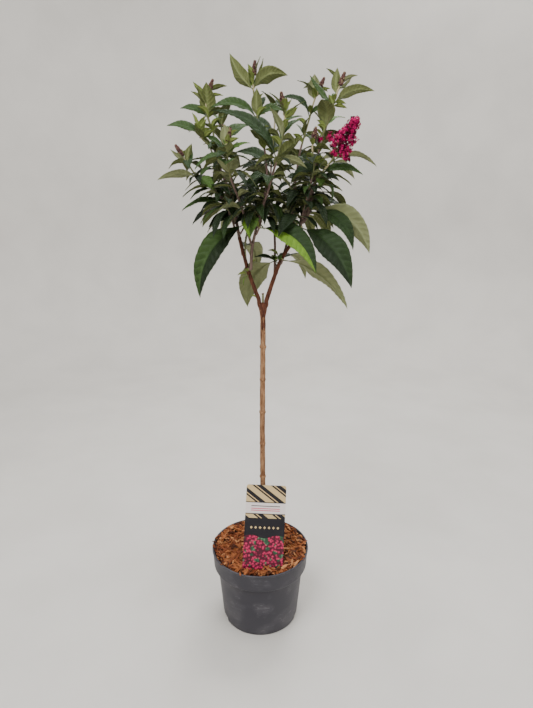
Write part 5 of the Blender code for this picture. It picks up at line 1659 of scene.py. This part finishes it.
class BUSH_OT_build_boughs(bpy.types.Operator):
    """Build the boughs and branches as tapering limbs that start inside their parents"""

    bl_idname = "bush.build_boughs"
    bl_label = "Boughs"

    def execute(self, context):
        shape = Shape()
        for seed, (name, (path, radii)) in enumerate(limb_paths().items()):
            limb = LIMBS[name]
            if limb.parent is None:
                lead = trunk_line(np.array([FORK_HEIGHT - 0.010]))[0]
                path = np.vstack((lead, path))
                radii = np.concatenate(([limb.radius * MM * 1.15], radii))
                back, nodes = 0.0, (0.691, 0.748)
            else:
                back, nodes = LIMBS[limb.parent].radius * MM * 0.8, ()
            old = 1 if limb.parent is None else 2
            add_limb(shape, path, radii, back,
                     lambda share, old=old: np.where(share < 0.8, old, 2), nodes, seed + 11)
        finishes = bark_finishes(context.scene.bush_bark)
        new_piece("bough_bark", shape.mesh("bough_bark", finishes), "bough_bark", *LIMBS)
        return {"FINISHED"}


class BUSH_OT_build_shoots(bpy.types.Operator):
    """Build the young stems that carry the leaves, and the short inner twigs"""

    bl_idname = "bush.build_shoots"
    bl_label = "Shoots"

    def execute(self, context):
        _, stems, _, twigs = growth()
        shape = Shape()
        for seed, (name, (path, radii)) in enumerate(stems.items()):
            shoot = SHOOTS[name]
            nodes = [pair[0] * MM for pair in shoot.pairs]
            back = LIMBS[shoot.limb].radius * MM if shoot.height else 0.002
            young = len(shoot.points) > 1
            add_limb(shape, path, radii, back,
                     lambda share, green=3 if young else 2: np.select([share < 0.55, share < 0.86],
                                                                      [2, green], 4),
                     nodes, seed + 101, 0.05)
        for name, foot, tip in twigs:
            path = smooth_path([foot, (foot + tip) / 2 + (0, 0, 0.001), tip], 0.002)
            add_tube(shape, path, np.linspace(0.0012, 0.0008, len(path))[:, None], 7, 3)
        finishes = bark_finishes(context.scene.bush_bark)
        new_piece("shoot_stems", shape.mesh("shoot_stems", finishes), "foliage")
        return {"FINISHED"}


@lru_cache(maxsize=1)
def growth():
    """Limbs, shoots, leaves and inner twigs, worked out once."""
    limbs = limb_paths()
    stems = shoot_paths(limbs)
    return limbs, stems, *grow_leaves(limbs, stems)


LEAF_PIECES = {
    "leaf_sprays_left": ("leaves_left", "leaves_low_left", "leaves_front_left", "bough_left", "branch_left"),
    "leaf_sprays_right": ("leaves_right", "leaves_flower", "leaves_low_right", "bough_right", "branch_right"),
    "leaf_sprays_back": ("leaves_back", "leaves_low_back", "leaves_low_rear", "leaves_inner_rear",
                         "branch_back"),
    "leaf_sprays_middle": ("",),
}


def leaf_piece(shoot):
    """The first piece whose starts fit a shoot's or limb's name."""
    return next(name for name, starts in LEAF_PIECES.items() if shoot.startswith(starts))


class BUSH_OT_build_leaves(bpy.types.Operator):
    """Build the leaves as thin shells with ribs, quilting, teeth and waves, joined into a few pieces"""

    bl_idname = "bush.build_leaves"
    bl_label = "Leaves"

    def execute(self, context):
        settings = context.scene.bush_leaf
        _, _, grown, _ = growth()
        finishes = leaf_finishes(settings)
        chance = np.random.default_rng(LEAF_SEED)
        shapes = {name: Shape() for name in LEAF_PIECES}
        for leaf in grown:
            add_leaf(shapes[leaf_piece(leaf.shoot)], leaf, settings, *leaf_tone(leaf, chance), chance)
        for name, shape in shapes.items():
            nodes = [node for node in SHOOTS if leaf_piece(node) == name]
            new_piece(name, shape.mesh(name, finishes), "foliage", *nodes)
        return {"FINISHED"}


def leaf_finishes(settings):
    """The leaf materials: upper tones, under tones, the upper vein and the under rib."""
    kinds = ((UPPER_TONES, 0.75, 1.0, 0.00035, {"Specular IOR Level": 0.22}),
             (UNDER_TONES, 0.3, -0.7, 0.0003,
              {"Specular IOR Level": 0.08, "Sheen Weight": 0.06, "Sheen Roughness": 0.5}),
             (("vein", "rib"), 0.3, 0.3, 0.0002, {"Specular IOR Level": 0.12}))
    return [finish_material("leaf_" + name, "leaf_skin",
                            {"Colour": getattr(settings, name), "Mottling": mottling, "Net": net}, relief,
                            constants)
            for names, mottling, net, relief, constants in kinds for name in names]


def scattered(shape, points, faces, middles, axes, sizes, kinds):
    """Copies of one small form: corner = middle + size * (x * first + y * second + z * third)."""
    placed = middles[:, None, :] + sizes[:, None, None] * np.einsum("vk,nkd->nvd", points, axes)
    all_faces = repeated(faces, len(points), len(middles))
    kinds = np.asarray(kinds)
    shape.add(placed, all_faces, kinds.ravel() if kinds.ndim == 2 else np.repeat(kinds, len(faces)))


def axes_towards(forwards, turns):
    """Three axes for each form: the third points along its forward, the first is turned about it."""
    first = units(np.cross(forwards, (0.21, -0.13, 0.97)))
    second = np.cross(forwards, first)
    turned = np.cos(turns)[:, None] * first + np.sin(turns)[:, None] * second
    return np.stack((turned, np.cross(forwards, turned), forwards), axis=1)


def bead_form(rings=4, sides=6):
    """A small closed bead of radius one, a little longer than wide."""
    lift = np.linspace(-1, 1, rings + 2)[1:-1]
    points = turned(np.stack((np.sqrt(1 - lift**2), 1.25 * lift), axis=1), sides)
    points = np.vstack((points.reshape(-1, 3), (0, 0, -1.25), (0, 0, 1.25)))
    low, high = rings * sides, rings * sides + 1
    around = np.arange(sides)
    beside = (around + 1) % sides
    walls = ring_faces(rings, sides)[:, ::-1]
    walls = np.vstack((walls[:, [0, 1, 2]], walls[:, [0, 2, 3]]))
    last = (rings - 1) * sides
    caps = np.vstack((np.stack((beside, around, np.full(sides, low)), 1),
                      np.stack((around + last, beside + last, np.full(sides, high)), 1)))
    return points, np.vstack((walls, caps))


def floret_form(chance):
    """An open floret of radius one: four ruffled lobes round a throat, on a slim tube.

    Lobe point(r, w) = r * lobe direction + w * width(r) * beside, raised by a cup r^2 and a ruffle.
    """
    points, faces, start = [], [], 0
    along_lobe, across_lobe = np.linspace(0.14, 1, 5), np.linspace(-1, 1, 5)
    width = 0.10 + 0.26 * np.sin(np.pi * (0.06 + 0.76 * (along_lobe - 0.14) / 0.86))
    for lobe in range(4):
        angle = lobe * math.pi / 2 + chance.uniform(-0.12, 0.12)
        way = np.array((math.cos(angle), math.sin(angle)))
        beside = np.array((-way[1], way[0]))
        cup = chance.uniform(-0.28, 0.22)
        r, w = along_lobe[:, None], across_lobe[None, :]
        notch = 1 - 0.10 * (r == 1) * (1 - np.abs(w)) - 0.16 * (r > 0.9) * w**2
        flat = (r * notch)[..., None] * way + (w * width[:, None])[..., None] * beside
        lift = cup * r**2 + 0.10 * np.sin(3.3 * w + lobe) * r - 0.10 * w**2
        grid = np.concatenate((flat, np.broadcast_to(lift, flat.shape[:2])[..., None]), axis=-1)
        under = grid - (0, 0, 0.05)
        for layer, order in ((grid, 1), (under, -1)):
            points.append(layer.reshape(-1, 3))
            faces.append(sheet_faces(5, 5)[:, ::order] + start)
            start += 25
    throat = np.array(((0.24, 0.02), (0.16, -0.3), (0.13, -1.6), (0.05, -2.0)))
    points.append(turned(throat, 6).reshape(-1, 3))
    faces.append(ring_faces(4, 6) + start)
    return np.vstack(points), np.vstack(faces)


class BUSH_OT_build_flowers(bpy.types.Operator):
    """Build the open flower head of four-lobed florets and the cones of closed buds at the shoots' tips"""

    bl_idname = "bush.build_flowers"
    bl_label = "Flowers"

    def execute(self, context):
        settings = context.scene.bush_flower
        _, stems, _, _ = growth()
        chance = np.random.default_rng(FLOWER_SEED)
        names = ("crimson", "magenta", "wine", "bud", "bud_dark", "bud_green")
        colours = [getattr(settings, name) for name in names]
        finishes = [grain_material("petal_" + name, colour, darker(colour, 0.55), 900.0, 0.35, 0.6, 0.0001,
                                   {"Specular IOR Level": 0.1}) for name, colour in zip(names, colours)]
        heads, stalks, buds = Shape(), Shape(), Shape()
        add_panicle(heads, stalks, stems[FLOWERING], settings, chance)
        for name, (path, _) in stems.items():
            if SHOOTS[name].bud:
                forward = unit(path[-1] - path[-2])
                add_bud_cone(buds, path[-1] - 0.002 * forward, forward, BUD_LENGTH, BUD_RADIUS, chance)
        woods = bark_finishes(context.scene.bush_bark)
        new_piece("panicle_florets", heads.mesh("panicle_florets", finishes), "blossom", "flower_panicle")
        new_piece("panicle_stalks", stalks.mesh("panicle_stalks", woods), "foliage")
        new_piece("flower_buds", buds.mesh("flower_buds", finishes), "blossom")
        return {"FINISHED"}


def add_bud_cone(shape, foot, forward, length, radius, chance):
    """A cone of closed buds on a spiral: turn = 2.4 * n, and the cone narrows to its tip."""
    count = CONE_BUDS
    share = (np.arange(count) + 0.5) / count
    side = axes_towards(np.array([forward]), np.zeros(1))[0]
    turn = GOLDEN_TURN * np.arange(count)
    reach = radius * (1.0 - 0.62 * share**2.2) * chance.uniform(0.8, 1.1, count)
    out = np.cos(turn)[:, None] * side[0] + np.sin(turn)[:, None] * side[1]
    middles = foot + (length * share**0.9)[:, None] * forward + reach[:, None] * out
    forwards = units(out + (0.5 + 1.2 * share)[:, None] * forward)
    points, faces = bead_form(3, 5)
    kinds = chance.choice((3, 4, 5), count, p=(0.55, 0.27, 0.18))
    scattered(shape, points, faces, middles, axes_towards(forwards, turn),
              0.00105 * (1.1 - 0.4 * share) * chance.uniform(0.8, 1.15, count), kinds)
    core = foot + np.linspace(0, 0.96, 8)[:, None] * length * forward
    add_tube(shape, core, (radius * np.linspace(0.8, 0.15, 8))[:, None], 8, 4)


def add_panicle(heads, stalks, stem, settings, chance):
    """The flower head: cymes set round a leaning axis, each a spray of florets that face outwards."""
    line, lean = panicle_line(stem)
    foot = line[1] + (PANICLE_STALK - 0.004) * lean
    first = unit(np.cross(lean, (0, 0, 1)))
    second = np.cross(lean, first)
    axis = smooth_path([stem[0][-1] - 0.002 * unit(stem[0][-1] - stem[0][-2]), line[1], foot,
                        foot + (PANICLE_LENGTH * 0.97) * lean], 0.002)
    add_tube(stalks, axis, np.linspace(0.0016, 0.0007, len(axis))[:, None], 8, 3)
    middles, forwards, kinds = [], [], []
    share = (np.arange(CYMES) + 0.5) / CYMES
    per_cyme = settings.florets / CYMES
    for number in range(CYMES):
        angle = GOLDEN_TURN * number + chance.uniform(-0.3, 0.3)
        out = unit(math.cos(angle) * first + math.sin(angle) * second + chance.uniform(0.15, 0.6) * lean)
        root = foot + PANICLE_LENGTH * 0.93 * share[number] * lean
        reach = panicle_reach(share[number]) * chance.uniform(0.45, 1.12)
        reach *= 1 + 0.5 * max(0, -out[0]) * max(0, 1 - 1.8 * share[number])
        hub = root + max(0.003, reach - 0.0060) * out
        twig = smooth_path([root, (root + hub) / 2 + 0.0008 * lean, hub], 0.002)
        add_tube(stalks, twig, np.linspace(0.0008, 0.0005, len(twig))[:, None], 5, 3)
        amount = max(3, round(per_cyme * chance.uniform(0.7, 1.3) * (1.25 - 0.5 * share[number])))
        spread = units(chance.normal(0, 0.75, (amount, 3)) + out)
        middles.append(hub + spread * chance.uniform(0.0030, 0.0095, (amount, 1)))
        forwards.append(units(spread + 0.25 * chance.normal(0, 1, (amount, 3))))
        # Florets are given crimson, magenta as painted highlight and wine as painted shade, at random.
        kinds.append(chance.choice((0, 1, 2), amount, p=(0.45, 0.25, 0.30)))
    middles, forwards, kinds = np.vstack(middles), np.vstack(forwards), np.concatenate(kinds)
    sizes = settings.floret_radius * chance.uniform(0.82, 1.15, len(middles))
    forms = [floret_form(chance) for _ in range(4)]
    which = chance.integers(0, 4, len(middles))
    turns = chance.uniform(0, 6.28, len(middles))
    for number, (points, faces) in enumerate(forms):
        chosen = which == number
        scattered(heads, points, faces, middles[chosen], axes_towards(forwards[chosen], turns[chosen]),
                  sizes[chosen], kinds[chosen])
    count = PANICLE_BUDS
    at = chance.uniform(0.05, 1.0, count)
    angle = chance.uniform(0, 6.28, count)
    out = units(np.cos(angle)[:, None] * first + np.sin(angle)[:, None] * second + 0.5 * lean)
    reach = panicle_reach(at) * chance.uniform(0.25, 0.7, count)
    inner = foot + (PANICLE_LENGTH * 0.96 * at)[:, None] * lean + reach[:, None] * out
    points, faces = bead_form(3, 5)
    scattered(heads, points, faces, inner, axes_towards(out, angle), 0.0012 * chance.uniform(0.7, 1.2, count),
              chance.choice((2, 4), count, p=(0.7, 0.3)))


# Stage

FOCAL_PIXELS = 532
PHOTO_PIXELS = 708
SENSOR_WIDTH = 36

# Name, place, the point it faces, size and power
LIGHTS = (
    ("key", (-0.7, -1.1, 2.5), (0, 0, 0.6), 1.3, 52),
    ("fill", (1.4, -1.1, 1.7), (0, 0, 0.5), 1.4, 16),
    ("back", (0.5, 1.4, 2.2), (0, 0, 0.5), 1.4, 26),
    ("top", (0.1, 0.0, 2.7), (0, 0, 0.4), 1.2, 30),
    ("wash", (1.0, 1.4, 2.9), (0.75, 2.3, 1.9), 0.8, 25),
)


class BUSH_OT_build_stage(bpy.types.Operator):
    """Build the pale floor, the backdrop, the soft lights and the camera"""

    bl_idname = "bush.build_stage"
    bl_label = "Stage"

    def execute(self, context):
        settings = context.scene.bush_stage
        shade = darker(settings.ground, 0.8)
        ground = grain_material("stage_ground", settings.ground, shade, 5.0, 0.30, 0.85)
        bend = np.linspace(0, math.pi / 2, 17)
        curve = 0.7
        reach = settings.reach
        radius = np.concatenate(([0.001, 0.5, 1.0], reach - curve + curve * np.sin(bend), [reach]))
        height = np.concatenate(([0.0] * 3, curve * (1 - np.cos(bend)), [3.4]))
        points = turned(np.stack((radius, height), axis=1), 96)
        room = Shape()
        room.add(points, ring_faces(len(radius), 96))
        room.add(points[0], np.arange(96)[None, :])
        backdrop = bpy.data.objects.new("stage_backdrop", room.mesh("stage_backdrop", [ground]))
        context.scene.collection.objects.link(backdrop)
        self.add_lights(context)
        camera = bpy.data.cameras.new("photo_camera")
        camera.lens, camera.sensor_width = FOCAL_PIXELS / PHOTO_PIXELS * SENSOR_WIDTH, SENSOR_WIDTH
        placed = bpy.data.objects.new("photo_camera", camera)
        context.scene.collection.objects.link(placed)
        placed.location = (0.0124, -settings.camera_distance, settings.camera_height)
        placed.rotation_euler = (math.radians(90 - settings.pitch), 0, 0)
        context.scene.camera = placed
        return {"FINISHED"}

    def add_lights(self, context):
        world = context.scene.world or bpy.data.worlds.new("studio")
        context.scene.world = world
        world.use_nodes = True
        background = world.node_tree.nodes["Background"].inputs
        background["Color"].default_value = (1.0, 0.99, 0.97, 1)
        background["Strength"].default_value = 0.36
        for name, place, aim, size, power in LIGHTS:
            lamp = bpy.data.lights.new(name, "AREA")
            lamp.shape, lamp.size, lamp.energy = "DISK", size, power
            placed = bpy.data.objects.new(name, lamp)
            context.scene.collection.objects.link(placed)
            placed.location = place
            placed.rotation_euler = (Vector(aim) - Vector(place)).to_track_quat("-Z", "Y").to_euler()


class BUSH_PT_panel(bpy.types.Panel):
    """The bush's settings and building steps"""

    bl_idname = "BUSH_PT_panel"
    bl_label = "Butterfly Bush"
    bl_space_type = "VIEW_3D"
    bl_region_type = "UI"
    bl_category = "Bush"

    def draw(self, context):
        for operator in OPERATORS:
            self.layout.operator(operator.bl_idname)
        for name in SETTINGS:
            box = self.layout.box()
            box.label(text=name.replace("bush_", "").capitalize())
            group = getattr(context.scene, name)
            for key in group.__annotations__:
                box.prop(group, key, text=key.replace("_", " ").capitalize())


OPERATORS = (BUSH_OT_build_pot, BUSH_OT_build_mulch, BUSH_OT_build_label, BUSH_OT_build_stem,
             BUSH_OT_build_boughs, BUSH_OT_build_shoots, BUSH_OT_build_leaves, BUSH_OT_build_flowers,
             BUSH_OT_build_stage)
SETTINGS = {"bush_pot": BushPotSettings, "bush_mulch": BushMulchSettings, "bush_label": BushLabelSettings,
            "bush_bark": BushBarkSettings, "bush_leaf": BushLeafSettings, "bush_flower": BushFlowerSettings,
            "bush_stage": BushStageSettings}


def register():
    for kind in (*SETTINGS.values(), *OPERATORS, BUSH_PT_panel):
        bpy.utils.register_class(kind)
    for name, kind in SETTINGS.items():
        setattr(bpy.types.Scene, name, PointerProperty(type=kind))


def unregister():
    for name in SETTINGS:
        delattr(bpy.types.Scene, name)
    for kind in reversed((*SETTINGS.values(), *OPERATORS, BUSH_PT_panel)):
        bpy.utils.unregister_class(kind)


def main():
    """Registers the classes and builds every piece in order."""
    register()
    for operator in OPERATORS:
        family, step = operator.bl_idname.split(".")
        getattr(getattr(bpy.ops, family), step)()


if __name__ == "__main__":
    main()
